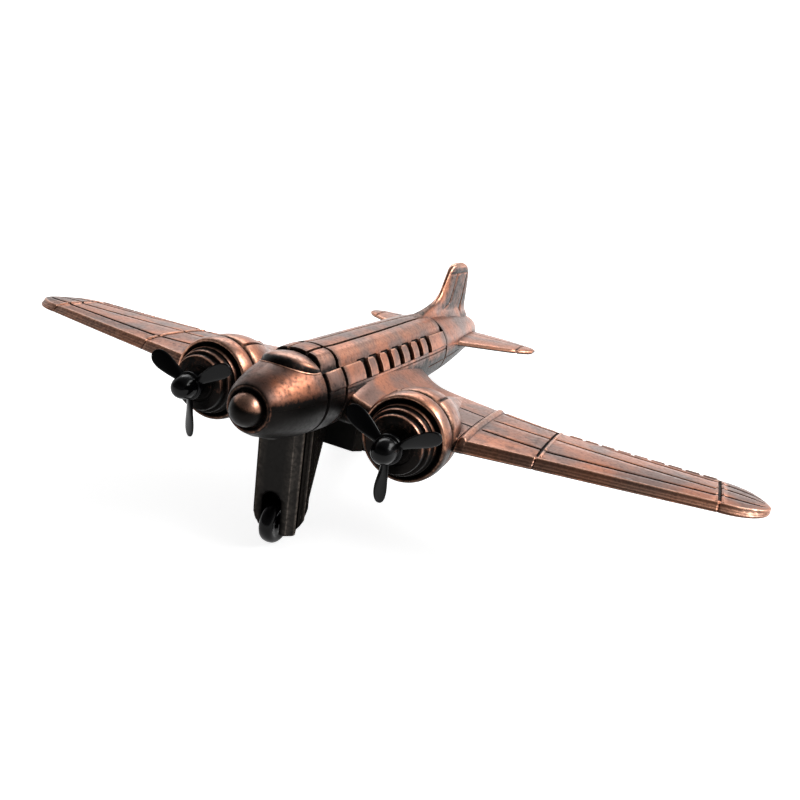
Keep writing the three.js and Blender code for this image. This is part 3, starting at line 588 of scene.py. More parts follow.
# Painted light: the dome is black patina and painted shade except its upper shoulder, which is rubbed bright with
# a painted highlight.
worn_and_lit_top = smooth((dome[:, :1] * heights(DOME_SIDES, 0.3) - 0.65) / 0.6)
worn_and_lit_top = worn_and_lit_top * (1 - smooth((dome[:, 1:] + 34.5) / 0.4))
cap = Skin().sheet(round_about(dome, 0, AXIS_Z, DOME_SIDES), 1.2 - worn_and_lit_top, 0.45 * worn_and_lit_top, caps=False)
piece("nose_dome", cap, copper, ["nose_cap"])


# ------------ wing-like sections
GROOVE_OFFS = (-0.3, -0.2, -0.11, 0, 0.11, 0.2, 0.3)  # mm from a long groove to its own grid lines
NO_GROOVE = 9.0  # the distance given to points that belong to no groove
ON_SKIN = 9  # in place of a height share: on the upper skin


def rise(u):
    """Height share of the upper or lower surface at chord share u."""
    side = np.sqrt(np.clip(1 - (1 - 2 * u) ** 2, 0, 1))
    return side**0.6 * (1 - 0.45 * u**2)


def with_grooves(*parts):
    """Grid points over a wing's top: (None, chord share), or (groove, mm off it) beside a groove."""
    points = []
    for part in parts:
        is_groove = isinstance(part, str)
        points += [(part, off) for off in GROOVE_OFFS] if is_groove else [(None, share) for share in part]
    return points


def top_shares(points, where, chord, small, plain):
    """Chord shares of all grid points, and how far each is from every groove."""
    u = beside(*(where[key] + value * small / chord if key else plain(value) for key, value in points))
    return u, {key: np.array([value if kind == key else NO_GROOVE for kind, value in points]) for key in where}


def edge_points(edge, lead, z0, half, chord, small):
    """y and z of a leading edge, from rows of (mm behind it, height share, mm of lift, patina, wear)."""
    back = edge[:, 0] * small
    z = np.where(edge[:, 1] == ON_SKIN, z0 + half * rise(back / chord), z0 + half * edge[:, 1])
    return lead + back + 0 * chord, z + edge[:, 2] * small


def low_points(shares, lead, z0, half, chord, small):
    """y and z of the lower surface at chord shares."""
    u = np.array(shares) + 0 * chord
    return lead + chord * u, z0 - np.maximum(half * rise(u), 0.16 * small)


STATIONS = [21.25, 31.6, 42.5, 53.8, 60]
WING_JOINT_X = 31.6
TIP_LEAD_Y, TIP_TRAIL_Y, TIP_Y = -12.3, -1.0, -6.85
wing_lead = curve(STATIONS[:4], [-17.9, -16.1, -14.3, TIP_LEAD_Y])
wing_trail = curve(STATIONS[:4], [2.8, 0.2, -0.6, TIP_TRAIL_Y])
wing_z = curve(STATIONS, [0.15, 0.25, 0.35, 0.45, 0.5])
wing_thick = curve(STATIONS, [2.4, 2.1, 1.8, 1.5, 1.25])
TAB_FIRST, TAB_STEP, TAB_WIDTH, TAB_COUNT, TAB_OUT = 33.1, 2.32, 1.85, 9, 0.42
TABS = TAB_FIRST + TAB_STEP * np.arange(TAB_COUNT)
RIB_X, RIB_HALF = 21.93, 0.49
TOP_CANON = [0.0, 0.06, 0.28, 0.60, 0.93, 1.0]
TOP_POINTS = with_grooves([0.11, 0.16, 0.22], "b", [0.34, 0.40, 0.46, 0.52], "a", [0.66, 0.72, 0.78, 0.84],
                          "c", [0.965, 0.985])
GROOVE_TURNS = [22.8, 31.2, 32.2, 53.2, 53.8, 60]
GROOVE_RUNS = {  # chord shares of the long grooves, as they run outwards
    "b": [0.326, 0.265, 0.241, 0.298, 0.34, 0.34],
    "a": [0.630, 0.623, 0.656, 0.515, 0.60, 0.60],
    "c": [0.93, 0.93, 0.93, 0.84, 0.80, 0.80],
}
# Its patina column darkens towards the lower surface: painted shade.
OUTER_EDGE = np.array([  # from the ridge down over the steps to the lower surface
    [1.45, ON_SKIN, 0.02, 0, 0.1], [1.22, ON_SKIN, 0.06, 0, 0.5], [1.08, ON_SKIN, 0.13, 0, 1.0],
    [0.94, ON_SKIN, 0.12, 0, 1.0], [0.84, ON_SKIN, 0.0, 0.1, 0.5], [0.74, 0.44, 0, 0.4, 0.35],
    [0.62, 0.30, 0, 0.6, 0.2], [0.50, 0.25, 0, 0.2, 0.6], [0.44, 0.12, 0, 0.4, 0.45], [0.30, -0.02, 0, 0.7, 0.2],
    [0.18, -0.06, 0, 0.2, 0.6], [0.10, -0.20, 0, 0.2, 0.5], [0.02, -0.34, 0, 0.3, 0.4],
    [0.02, -0.46, 0, 0.4, 0.3], [0.16, -0.60, 0, 0.8, 0], [0.50, -0.72, 0, 1, 0],
])


def wing_outline(x):
    beyond = np.sqrt(np.clip(1 - ((x - TIP_LINE_X) / (HALF_SPAN - TIP_LINE_X)).clip(0) ** 2, 0.0009, 1))
    lead = np.where(x > TIP_LINE_X, TIP_Y + (TIP_LEAD_Y - TIP_Y) * beyond, wing_lead(x))
    trail = np.where(x > TIP_LINE_X, TIP_Y + (TIP_TRAIL_Y - TIP_Y) * beyond, wing_trail(x))
    return lead, trail, beyond


def outer_wing(side):
    """An outer panel, row by row along the span, each round its section from the rear edge over the top."""
    marks = [(WING_JOINT_X - 0.2, 0.1, 0.1), (WING_JOINT_X + 0.2, 0.12, 0.1), (TIP_LINE_X, 0.12, 0.12)]
    marks += [(TIP_LINE_X + k, 0.05, 0.12) for k in (-0.42, 0.42)]
    marks += [(at + k, 0.05, 0.1) for at in TABS for k in (0.0, TAB_WIDTH)]
    angles = np.radians(np.concatenate([np.linspace(0, 70, 15)[1:], [75, 79, 82.5, 85.5, 88, 89.2]]))
    x = np.concatenate([
        [21.33, 21.36, 21.44, 21.58, 21.75, 21.93, 22.11, 22.28, 22.42, 22.5, 22.55, 22.7],
        lines(23.0, TIP_LINE_X + 0.6, 0.95, marks),
        TIP_LINE_X + 0.6 + (HALF_SPAN - TIP_LINE_X - 0.6) * np.sin(angles),
    ])[:, None]
    lead, trail, beyond = wing_outline(x)
    chord = trail - lead
    z0, half = wing_z(x), wing_thick(x) * (0.30 + 0.70 * beyond**0.35) / 2
    small = np.clip(chord / 9.0, 0.02, 1.0)

    # The top with its grooves, joint line, tip line, hinge tabs and stains.
    where = {key: np.interp(x, GROOVE_TURNS, run) for key, run in GROOVE_RUNS.items()}
    knots = beside(0 * x, 0 * x + TOP_CANON[1], where["b"], where["a"], where["c"], 0 * x + 1)
    u, off = top_shares(TOP_POINTS, where, chord, small,
                        lambda share: np.array([[np.interp(share, TOP_CANON, row)] for row in knots]))
    shown = dict.fromkeys("ab", window(x, 22.9, 59.0, 0.25))
    shown["c"] = window(x, 22.9, 59.2, 0.25) * np.interp(x, [30, 31.2, 32, 38, 44], [0.8, 0.8, 0, 0, 1])

    def in_grooves(half_width, edge):
        return np.max(np.stack([dent(off[k], half_width, edge) * shown[k] for k in "abc"]), axis=0)

    joint = np.maximum(dent(x - WING_JOINT_X + 0.2, 0.09, 0.1), dent(x - TIP_LINE_X, 0.1, 0.12))
    strip = dent(x - WING_JOINT_X - 0.22, 0.1, 0.12) + 0.5 * dent(np.abs(x - TIP_LINE_X) - 0.42, 0.08, 0.12)
    rear_line = dent(x - 27, 4.0, 0.3) * dent(u - 0.975, 0.012, 0.012)
    tab = sum(window(x, at + 0.08, at + TAB_WIDTH - 0.08, 0.16) for at in TABS)
    roll = tab * smooth((u - 0.965) / 0.02)
    lift = 0.17 * strip * small - 0.30 * np.maximum(in_grooves(0.12, 0.12), joint) * small
    lift = lift + 0.10 * rear_line + 0.20 * roll
    y_top, z_top = lead + chord * u, z0 + np.maximum(half * rise(u), 0.16 * small) + lift
    top_patina_and_shade = np.maximum(np.maximum(in_grooves(0.19, 0.1), joint), 0.85 * tab * dent(u - 0.96, 0.008, 0.012))
    top_patina_and_shade = np.maximum(top_patina_and_shade, 0.22 * window(x, 22.6, 31.2, 0.3))
    # Painted shade: a soft dark band behind the starboard leading edge, where the convex top turns from the
    # light.
    if side < 0:
        top_patina_and_shade = np.maximum(top_patina_and_shade, 0.42 * dent(u - 0.19, 0.03, 0.09))
    top_worn = 0.6 * roll + 0.5 * strip + 0.25 * dent(np.abs(off["a"]) - 0.3, 0.02, 0.05) + 0.5 * rear_line

    # The leading edge, the underside and the rear edge with its tabs.
    notch = dent(x - WING_JOINT_X + 0.2, 0.07, 0.1) + dent(x - TIP_LINE_X, 0.09, 0.1)
    y_edge, z_edge = edge_points(OUTER_EDGE, lead, z0, half, chord, small)
    y_edge = y_edge + 0.16 * notch * small
    z_edge = z_edge - 0.12 * notch * small * (OUTER_EDGE[:, 2] > 0.03)
    low_shares = [0.10, 0.17, 0.26, 0.38, 0.5, 0.62, 0.74, 0.85, 0.93, 1.0]
    y_low, z_low = low_points(low_shares, lead, z0, half, chord, small)
    out = TAB_OUT * tab
    y_tail = trail + np.array([0.0, 1.0, 1.0]) * out
    z_tail = z0 + np.array([0.2, 0.16, -0.16]) * small + np.array([0.16, 0.08, 0.0]) * tab
    y = beside(y_tail[:, 1::-1], y_top[:, ::-1], y_edge, y_low, y_tail[:, 2:])
    z = beside(z_tail[:, 1::-1], z_top[:, ::-1], z_edge, z_low, z_tail[:, 2:])
    # The lower surface's patina of 0.9 is painted shade on the underside.
    patina_and_shade = beside(0 * x + 0.15, 0.6 * (out <= 0.02) + 0.35, top_patina_and_shade[:, ::-1],
                    OUTER_EDGE[:, 3] + 0 * y_edge, 0.9 + 0 * z_low, 0 * x + 0.7)
    wear_and_highlight = beside(0 * x + 0.25, 0 * x + 0.25, top_worn[:, ::-1], OUTER_EDGE[:, 4] * (1 - notch),
                  0 * z_low, 0 * x)

    # The rounded rib that hides the joint with the centre section.
    rib = np.sqrt(np.clip(1 - ((x - RIB_X) / RIB_HALF) ** 2, 0, 1))
    above = smooth((z - z0 + 0.1) / 0.5)
    y = y + rib * 0.04 * np.tanh((y - (lead + trail) / 2) / 3)
    swell = smooth(np.abs(z - z0) / 0.5) * smooth((y - lead - 0.1) / 1.1)
    z = z + rib * (0.42 * above - 0.12 * (1 - above)) * swell
    wear_and_highlight = np.maximum(wear_and_highlight * (1 - rib), 0.55 * above * rib**3)
    patina_and_shade = np.maximum(patina_and_shade * (1 - 0.8 * rib * above), 0.7 * window(x, 22.5, 22.62, 0.1))
    return np.stack([side * x + 0 * y, y, z], axis=-1), np.clip(patina_and_shade, 0, 1), np.clip(wear_and_highlight, 0, 1)


for side, label in SIDES:
    panel = Skin().sheet(*outer_wing(side))
    piece(f"wing_panel_{label}", panel, copper, [f"outer_wing_{label}"], 50)

# ------------ wing centre with its nacelles
ROOT_X = 4.6
root_lead = curve([ROOT_X, 5.6, 7.4, 9, 11.5, 21.25], [-18.6, -18.58, -18.2, -17.95, -17.85, -17.9])
root_trail = curve([ROOT_X, 5.6, 7.4, 9, 11.5, 21.25], [9.1, 9.0, 8.0, 7.0, 5.7, 2.8])
root_z = curve([ROOT_X, 5.6, 6.4, 7.4, 9, 11.5, 21.25], [1.7, 1.3, 1.0, 0.8, 0.42, 0.22, 0.15])
root_thick = curve([ROOT_X, 5.6, 6.4, 7.4, 9, 11.5, 15, 21.25], [7.2, 6.4, 5.6, 4.8, 3.9, 3.1, 2.8, 2.45])
CENTRE_POINTS = with_grooves([0.10, 0.15, 0.20, 0.26], "b", [0.42, 0.48, 0.54], "a",
                             [0.74, 0.80, 0.86, 0.92, 0.96, 0.985])
CENTRE_EDGE = np.array([
    [1.45, ON_SKIN, 0.02, 0, 0.1], [1.22, ON_SKIN, 0.06, 0, 0.6], [1.06, ON_SKIN, 0.10, 0, 1.0],
    [0.90, ON_SKIN, 0.08, 0, 1.0], [0.78, ON_SKIN, -0.05, 0.4, 0.3], [0.62, 0.36, 0, 0.9, 0],
    [0.40, 0.20, 0, 0.7, 0.1], [0.16, 0.0, 0, 0.9, 0], [0.02, -0.2, 0, 1, 0], [0.02, -0.40, 0, 1, 0],
    [0.2, -0.6, 0, 1, 0], [0.6, -0.75, 0, 1, 0],
])


def centre_wing():
    """The centre section from joint to joint, row by row along the span."""
    half_x = np.concatenate([[0, 2, 4, 4.6, 5.2, 5.6], np.arange(5.9, 12.1, 0.32), np.arange(12.6, 21.0, 0.7),
                             [21.24]])
    x = np.concatenate([-half_x[:0:-1], half_x])[:, None]
    a = np.abs(x).clip(ROOT_X)
    lead, trail = root_lead(a), root_trail(a)
    chord, z0, half = trail - lead, root_z(a), root_thick(a) / 2
    where = {"a": np.interp(a, [4.6, 12, 22.8], [0.66, 0.64, 0.63]),
             "b": np.interp(a, [4.6, 12, 22.8], [0.36, 0.34, 0.326])}
    u, off = top_shares(CENTRE_POINTS, where, chord, 1.0, lambda share: share + 0 * chord)
    off, outboard = np.minimum(off["a"], off["b"]), smooth((a - 16.5) / 0.8)
    y_top = lead + chord * u
    z_top = z0 + np.maximum(half * rise(u), 0.16) - 0.26 * dent(off, 0.10, 0.12) * outboard
    stain = dent(off, 0.19, 0.1) * outboard
    y_edge, z_edge = edge_points(CENTRE_EDGE, lead, z0, half, chord, 1.0)
    y_low, z_low = low_points([0.10, 0.2, 0.35, 0.5, 0.65, 0.8, 0.92, 1.0], lead, z0, half, chord, 1.0)
    y = beside(trail, y_top[:, ::-1], y_edge, y_low)
    z = beside(z0 + 0.17, z_top[:, ::-1], z_edge, z_low)
    # Painted shade: the lower surface, and the lower rows of the leading edge, are nearly black.
    patina_and_shade = beside(0.3 + 0 * x, stain[:, ::-1], CENTRE_EDGE[:, 3] + 0 * y_edge, 0.95 + 0 * z_low)
    wear_and_highlight = beside(0.2 + 0 * x, 0 * u, CENTRE_EDGE[:, 4] + 0 * y_edge, 0 * z_low)
    return np.stack([x + 0 * y, y, z], axis=-1), patina_and_shade, wear_and_highlight


nacelle_radius = curve(
    [-17.77, -17.5, -17.1, -16.4, -14.8, -13, -10.5, -8.2, -5.5, -2.8, 2.4, 5.0],
    [5.66, 5.88, 5.99, 6.02, 5.86, 5.45, 4.5, 3.5, 2.7, 2.1, 0.9, 0.12],
)
NACELLE_LINES = (62.0, 118.0)


def nacelle(centre_x):
    """A tapering pod behind a cowl, with two grooves and two raised panels along its top."""
    y = lines(-16.8, 5.0, 0.75, [(-14.0, 0.1, 0.15)])
    y = np.concatenate([[-17.77, -17.72, -17.6, -17.4, -17.1], y])[:, None]
    own = [at + k for at in NACELLE_LINES for k in (-4.5, -3, -1.9, -1, 0, 1, 1.9, 3, 4.5)]
    deg = np.concatenate([np.arange(0, 54, 4.5), own, np.arange(70, 112, 4.0), np.arange(127, 360, 5.2)])
    deg = np.unique(np.round(deg, 3))
    t = np.radians(deg)
    line = sum(dent(deg - at, 1.3, 1.3) for at in NACELLE_LINES) * window(y, -17.4, -9.5, 0.8)
    panel = sum(window(deg, low, high, 1.5) for low, high in ((20, 60.6), (119.4, 160)))
    panel = panel * window(y, -17.5, -11.0, 2.0)
    r = nacelle_radius(y) - 0.28 * line + 0.12 * panel
    front = 0.95 * (1 - smooth((y + 17.38) / 0.25))
    # Painted shade: the lower side of the pod goes black. Painted highlight: the upper edge of the port-side
    # panel is brightened.
    patina_and_shade = np.maximum(np.maximum(line, front), smooth((0.25 - np.sin(t)) / 0.6))
    wear_and_highlight = 0.45 * dent(y + 17.0, 0.25, 0.5) + 0.3 * panel * dent(deg - 58, 3, 5)
    return np.stack([centre_x + r * np.cos(t), y + 0 * r, r * np.sin(t)], axis=-1), patina_and_shade, np.clip(wear_and_highlight, 0, 1)


centre = Skin().sheet(*centre_wing()).sheet(*shell(lines(WING_FRONT_Y, WING_REAR_Y, 1.4, []), False))
piece("wing_centre_section", centre, copper, ["wing_centre"], 50)
for side, label in SIDES:
    pod = Skin().sheet(*nacelle(side * SHAFT_X))
    piece(f"nacelle_{label}", pod, copper, ["wing_centre"], 45)

# ------------ cowl rings and engines
# Rows of radius, y, patina and wear.
COWL = [
    (5.2, -17.85, 1, 0), (5.2, -19, 1, 0), (5.2, -20, 1, 0), (5.27, -20.25, 0.95, 0),
    (5.38, -20.46, 0.7, 0.2), (5.5, -20.57, 0.2, 0.7), (5.62, -20.6, 0, 1), (5.75, -20.54, 0, 0.95),
    (5.86, -20.38, 0, 0.7), (5.95, -20.1, 0, 0.4), (6.02, -19.6, 0, 0.2), (6.07, -19.1, 0, 0.1),
    (6.08, -18.7, 0, 0.1), (6.02, -18.3, 0.1, 0.1), (5.92, -18.02, 0.4, 0.2), (5.8, -17.9, 0.9, 0),
    (5.6, -17.85, 1, 0),
]
ENGINE = [
    (0.7, -23.4, 1, 0), (2.2, -23.4, 1, 0), (2.3, -23.3, 1, 0), (2.6, -23.3, 1, 0), (2.7, -23.4, 1, 0),
    (3.72, -23.4, 0.95, 0), (3.86, -23.35, 0.5, 0.75), (3.92, -23.22, 0.5, 0.35), (3.93, -22.9, 1, 0),
    (3.95, -22.42, 1, 0), (4, -22.32, 1, 0), (4.3, -22.3, 0.9, 0), (4.41, -22.26, 0.3, 0.75),
    (4.46, -22.14, 0.4, 0.35), (4.48, -21.7, 1, 0), (4.49, -21.3, 1, 0), (4.55, -21.21, 1, 0),
    (4.68, -21.2, 0.9, 0), (4.77, -21.16, 0.3, 0.75), (4.8, -21.05, 0.4, 0.3), (4.81, -20.4, 1, 0),
    (4.82, -19.5, 1, 0), (4.86, -19.32, 1, 0), (5.1, -19.3, 1, 0), (5.12, -19.2, 1, 0),
    (5.12, -17.85, 1, 0), (3.12, -17.85, 1, 0), (3.12, -15, 1, 0), (0.7, -15, 1, 0),
]


def turned(table, x, sides):
    """Rings round an engine's shaft, and their patina and wear, from a table that closes on itself."""
    table = np.array(table + table[:1], float)
    return round_about(table, x, 0, sides), table[:, 2:3], table[:, 3:]


for side, label in SIDES:
    rings, dark, worn = turned(COWL, side * SHAFT_X, 96)
    # Painted shade: the lower side of the cowl ring goes black and loses its bright wear.
    painted_cowl_shade = smooth((0.40 - heights(96, -0.15)) / 0.7)
    ring = Skin().sheet(rings, np.maximum(dark, painted_cowl_shade), worn * (1 - 0.75 * painted_cowl_shade), caps=False)
    piece(f"cowling_{label}", ring, copper, [f"cowl_ring_{label}"], 40)
    rings, dark, worn = turned(ENGINE, side * SHAFT_X, 84)
    # Painted light: the engine face goes black on its lower side, and its ring edges are bright only on top,
    # where the light falls.
    engine_lit_top = smooth((heights(84) + 0.35) / 1.1)
    face = Skin().sheet(rings, np.maximum(dark, 1.1 - 1.1 * engine_lit_top), 0.85 * worn * engine_lit_top, caps=False)
    piece(f"engine_face_{label}", face, copper, [f"engine_{label}"], 40)

# ------------ propellers
BLADE_R = [0.9, 1.8, 3.8, 5.4, 6.3, 6.8, 7.15, 7.3, 7.35]
blade_chord = curve(BLADE_R, [1.0, 1.35, 2.1, 2.45, 2.25, 1.85, 1.25, 0.75, 0.25])
blade_thick = curve(BLADE_R, [0.9, 0.8, 0.6, 0.5, 0.44, 0.4, 0.36, 0.32, 0.2])
blade_pitch = curve(BLADE_R, [42, 39, 32, 27, 25, 24, 23, 23, 23])
HUB = [(0.0, -28.1), (0.35, -28.08), (0.7, -27.99), (1.0, -27.82), (1.25, -27.55), (1.45, -27.2), (1.58, -26.8),
       (1.67, -26.3), (1.7, -25.9), (1.7, -25.6), (1.74, -25.52), (1.9, -25.5), (1.98, -25.42), (2.0, -25.2),
       (2.0, -24.8), (1.96, -24.66), (1.84, -24.6), (1.56, -24.56), (1.5, -24.5), (1.5, -23.66), (1.44, -23.6),
       (0.72, -23.6), (0.72, -26.15), (1.05, -26.2), (1.05, -27.1), (0.0, -27.1)]


def propeller_blade(x0, degrees):
    """A twisted blade, ring by ring from root to tip."""
    r = np.concatenate([np.linspace(0.9, 6.3, 16), [6.6, 6.85, 7.05, 7.18, 7.27, 7.33, 7.35]])[:, None]
    turn = full_turn(24)
    pitch, a = -np.radians(blade_pitch(r)), np.radians(degrees)
    across = blade_chord(r) / 2 * np.sign(np.cos(turn)) * np.abs(np.cos(turn)) ** 0.85
    through = blade_thick(r) / 2 * np.sin(turn)
    y = BLADE_Y + across * np.sin(pitch) + through * np.cos(pitch)
    tangent = across * np.cos(pitch) - through * np.sin(pitch)
    return np.stack([x0 + r * np.cos(a) - tangent * np.sin(a), y, r * np.sin(a) + tangent * np.cos(a)], axis=-1)


for side, label in SIDES:
    prop = Skin().sheet(round_about(HUB, side * SHAFT_X, 0, 48), caps=False)
    for step in (0, 120, 240):
        prop.sheet(propeller_blade(side * SHAFT_X, FIRST_BLADE[label] + step))
    piece(f"airscrew_{label}", prop, black, [f"propeller_{label}"], 50, f"propeller_{label}")


# ------------ tailplane
PLANE_STATIONS = [0, 2.6, 9.4, 14.4, 16.6, 17.6]
plane_lead = curve(PLANE_STATIONS, [25.0, 26.2, 30.2, 33.4, 35.2, 36.9])
plane_trail = curve(PLANE_STATIONS, [43.4, 43.3, 42.8, 41.7, 40.9, 39.6])
plane_thick = curve([0, 2.6, 9.4, 14.4, 16.6, 17.3, 17.6], [1.6, 1.5, 1.35, 1.2, 1.05, 0.9, 0.5])
PLANE_Z, HINGE_Y, PLANE_TIP_X = 3.4, 38.7, 15.0
SCALLOPS = [5.2 + 1.75 * i for i in range(6)]


def tail_plane():
    """The tailplane from tip to tip, with its hinge groove, tip grooves and scalloped rear edge."""
    marks = [(PLANE_TIP_X, 0.1, 0.14)] + [(at, 0.08, 0.16) for at in SCALLOPS]
    half_x = np.concatenate([[0.0, 1.5], lines(2.6, 17.0, 0.7, marks), [17.2, 17.38, 17.5, 17.57, 17.6]])
    x = np.concatenate([-half_x[:0:-1], half_x])[:, None]
    a = np.abs(x)
    lead, trail = plane_lead(a), plane_trail(a)
    chord = trail - lead
    small = np.clip(chord / 6.0, 0.1, 1)
    hinge = np.clip((HINGE_Y - lead) / chord, 0.3, 0.8)
    own = np.array([-0.3, -0.2, -0.1, 0, 0.1, 0.2, 0.3])
    u = beside(
        np.array([0, 0.012, 0.035, 0.07, 0.12, 0.19]) + 0 * chord,
        0.19 + (hinge - 0.03 - 0.19) * np.array([0.3, 0.6]),
        hinge + own * small / chord,
        hinge + (1 - hinge) * np.array([0.2, 0.45, 0.7, 0.86, 0.95, 1.0]),
    )
    off = np.concatenate([[NO_GROOVE] * 8, own, [NO_GROOVE] * 6])
    line = dent(off, 0.1, 0.1) * window(a, 4.5, 15.8, 0.3)
    tip = dent(a - PLANE_TIP_X, 0.1, 0.14) * window(u, 0.04, 1.0, 0.02)
    notch = sum(dent(a - at, 0.07, 0.18) for at in SCALLOPS)
    rim = np.sqrt(np.clip(1 - (1 - u / 0.06).clip(0) ** 2, 0, 1))
    lift = np.maximum(plane_thick(a) / 2 * rise(u) * (0.25 + 0.75 * rim), 0.12 * small)
    lift = np.where(u <= 0, 0, lift) - 0.2 * np.maximum(line, tip) * small
    y = lead + chord * u - 0.32 * notch * smooth((u - 0.93) / 0.07)
    up, low = (np.stack([x + 0 * y, y, PLANE_Z + way * lift], axis=-1) for way in (1, -1))
    patina_and_shade = np.maximum(np.maximum(0.9 * line, 0.75 * tip), 0.6 * notch * smooth((u - 0.9) / 0.08))
    wear_and_highlight = 0.55 * dent(u - 0.03, 0.02, 0.05)
    pairs = ((up, low), (patina_and_shade, patina_and_shade), (wear_and_highlight, 0 * wear_and_highlight))
    return [beside(near, far[:, -1:0:-1]) for near, far in pairs]


piece("tail_wing", Skin().sheet(*tail_plane()), copper, ["tailplane"], 50)


# ------------ front leg, wheel
def leg_outline(f, g, b, w):
    """Half of one section: across, along, patina and wear, for its front, groove, rear and half width."""
    return [
        (0.0, f, 0, 0), (1.3, f, 0, 0),
        (w - 1.0, f, 0, 0.2), (w - 0.9, f + 0.03, 0, 0.8), (w - 0.78, f + 0.13, 0, 0.3),
        (w - 0.18, f + 0.74, 0, 0.1), (w - 0.05, f + 0.90, 0, 0.8), (w, f + 1.04, 0, 1.0),
        (w, g - 0.44, 0.1, 0.6), (w - 0.06, g - 0.35, 0.7, 0), (w - 0.5, g - 0.28, 1, 0), (w - 0.55, g, 1, 0),
        (w - 0.5, g + 0.28, 1, 0), (w - 0.2, g + 0.35, 0.6, 0), (w - 0.16, g + 0.45, 0.3, 0.2),
        (w - 0.12, g + 1.1, 0.1, 0), (w - 0.08, g + 1.62, 0, 0.3), (w, g + 1.74, 0, 1.0),
        (w - 0.02, g + 1.9, 0, 0.6), (w - 0.14, g + 2.02, 0.1, 0), (w - 0.2, g + 3.0, 0, 0),
        (w - 0.34, b - 0.4, 0, 0.1), (w - 0.48, b - 0.14, 0, 0.4), (w - 0.72, b, 0.2, 0.1),
        (1.2, b, 0.2, 0), (0.0, b, 0.2, 0),
    ]


def leg_prism():
    """Plan sections from the belly down: chamfered front plate, groove, ridged rear part."""
    z = np.concatenate([[0.0, -0.8], np.linspace(-1.6, -13.4, 30), np.linspace(-13.7, -15.2, 10),
                        np.linspace(-15.26, -16.9, 30)])
    front = np.interp(z, [-16.4, 0], [-24.9, -26.2])
    groove = np.interp(z, [-18, 0], [-23.22, -24.55])
    rear = np.interp(z, [-16.9, -15.98, -15.86, -15.6, -15.3, -14.9, -14.3, -13.6, -3, 0],
                     [-23.75, -23.6, -22.6, -22.0, -21.4, -21.0, -20.65, -20.2, -17.9, -17.9])
    stepped = np.interp(z, [-16.9, -16.5, -16.4, -16.0, -15.9, -15.4, -15.3, -14.4, 0],
                        [2.25, 2.45, 2.75, 2.9, 3.15, 3.25, 3.36, LEG_HALF, LEG_HALF])
    straight = np.interp(z, [-16.9, -16.8, -16.6], [LEG_HALF - 0.15, LEG_HALF - 0.03, LEG_HALF])
    port, starboard = (np.array([leg_outline(*row) for row in zip(front, groove, rear, wide)])
                       for wide in (straight, stepped))
    plan = beside(port, starboard[:, -2:0:-1] * (-1, 1, 1, 1))
    plan[..., 1] = np.minimum(plan[..., 1], rear[:, None])
    level = np.broadcast_to(z[:, None, None], plan.shape[:2] + (1,))
    return np.concatenate([plan[..., :2], level], axis=-1), plan[..., 2], plan[..., 3]


def slot_tool():
    """The arched wheel slot, as a solid to cut away."""
    arch = [(ARCH_R * np.cos(t), ARCH_Z + ARCH_R * np.sin(t)) for t in np.linspace(0, np.pi, 25)]
    arch = [(ARCH_R, -20.0)] + arch + [(-ARCH_R, -20.0)]
    rings = np.array([[(x, y, z) for x, z in arch] for y in (-29.0, -18.6)])
    return solid("cutter", Skin().sheet(rings), 40)


def cut(target, tool):
    """Cuts tool out of target and removes it."""
    modifier = target.modifiers.new("cut", "BOOLEAN")
    modifier.operation, modifier.solver, modifier.object = "DIFFERENCE", "EXACT", tool
    bpy.context.view_layer.update()
    done = bpy.data.meshes.new_from_object(target.evaluated_get(bpy.context.evaluated_depsgraph_get()))
    target.modifiers.clear()
    old, target.data = target.data, done
    bpy.data.meshes.remove(old)
    bpy.data.objects.remove(tool)
    shade(done, 40)


def shade_slot_walls(mesh):
    """Painted shade: full patina on the walls of the wheel slot, keeping them black."""
    corners, stain = np.zeros(len(mesh.vertices) * 3), np.zeros(len(mesh.vertices))
    mesh.vertices.foreach_get("co", corners)
    mesh.attributes["patina_and_shade"].data.foreach_get("value", stain)
    within = (corners.reshape(-1, 3) - SHAFT_AT) @ PITCH * 1000 + SHAFT_POINT
    walls = np.hypot(within[:, 0], np.maximum(within[:, 2] - ARCH_Z, 0)) < ARCH_R + 0.02
    mesh.attributes["patina_and_shade"].data.foreach_set("value", np.where(walls, 1.0, stain))


leg = piece("leg_casting", Skin().sheet(*leg_prism()), bronze, ["front_leg"], 40)
cut(leg, slot_tool())
shade_slot_walls(leg.data)

TREAD = [(0.62, 1.0), (1.2, 1.0), (1.35, 0.86), (2.0, 0.86), (2.15, 1.0), (2.45, 1.05), (2.75, 0.98), (2.98, 0.8),
         (3.12, 0.55), (3.18, 0.25), (WHEEL_R, 0.0)]
TREAD = [(r, -w) for r, w in TREAD] + TREAD[-2::-1]
AXLE = [(0.0, -2.42), (0.4, -2.42), (0.5, -2.34), (0.52, -2.2)]
AXLE = AXLE + [(r, -w) for r, w in AXLE[::-1]]


def across(profile, sides):
    """Rings about the wheel's axle from rows of (radius, x)."""
    rings = round_about(profile, 0, 0, sides)
    return np.stack([rings[..., 1], WHEEL_Y + rings[..., 0], WHEEL_Z + rings[..., 2]], axis=-1)


tyre = Skin().sheet(across(TREAD + TREAD[:1], 72), caps=False)
piece("front_wheel", tyre, black, ["nose_wheel"], 45, "nose_wheel")
piece("axle", Skin().sheet(across(AXLE, 24), caps=False), bright, ["wheel_axle"], 45)

# ------------ carried-over CAD nodes
for node, material in {
    "sharpener_body": bronze, "sharpener_blade": bright, "blade_screw": bright, "sharpener_screw": bright,
    "nose_screw": blackened, "tail_screw": blackened, "leg_screw": blackened,
    "propeller_pin_port": bright, "propeller_pin_starboard": bright,
}.items():
    looks = frame["nodes"][node].data.materials
    looks.clear()
    looks.append(material)

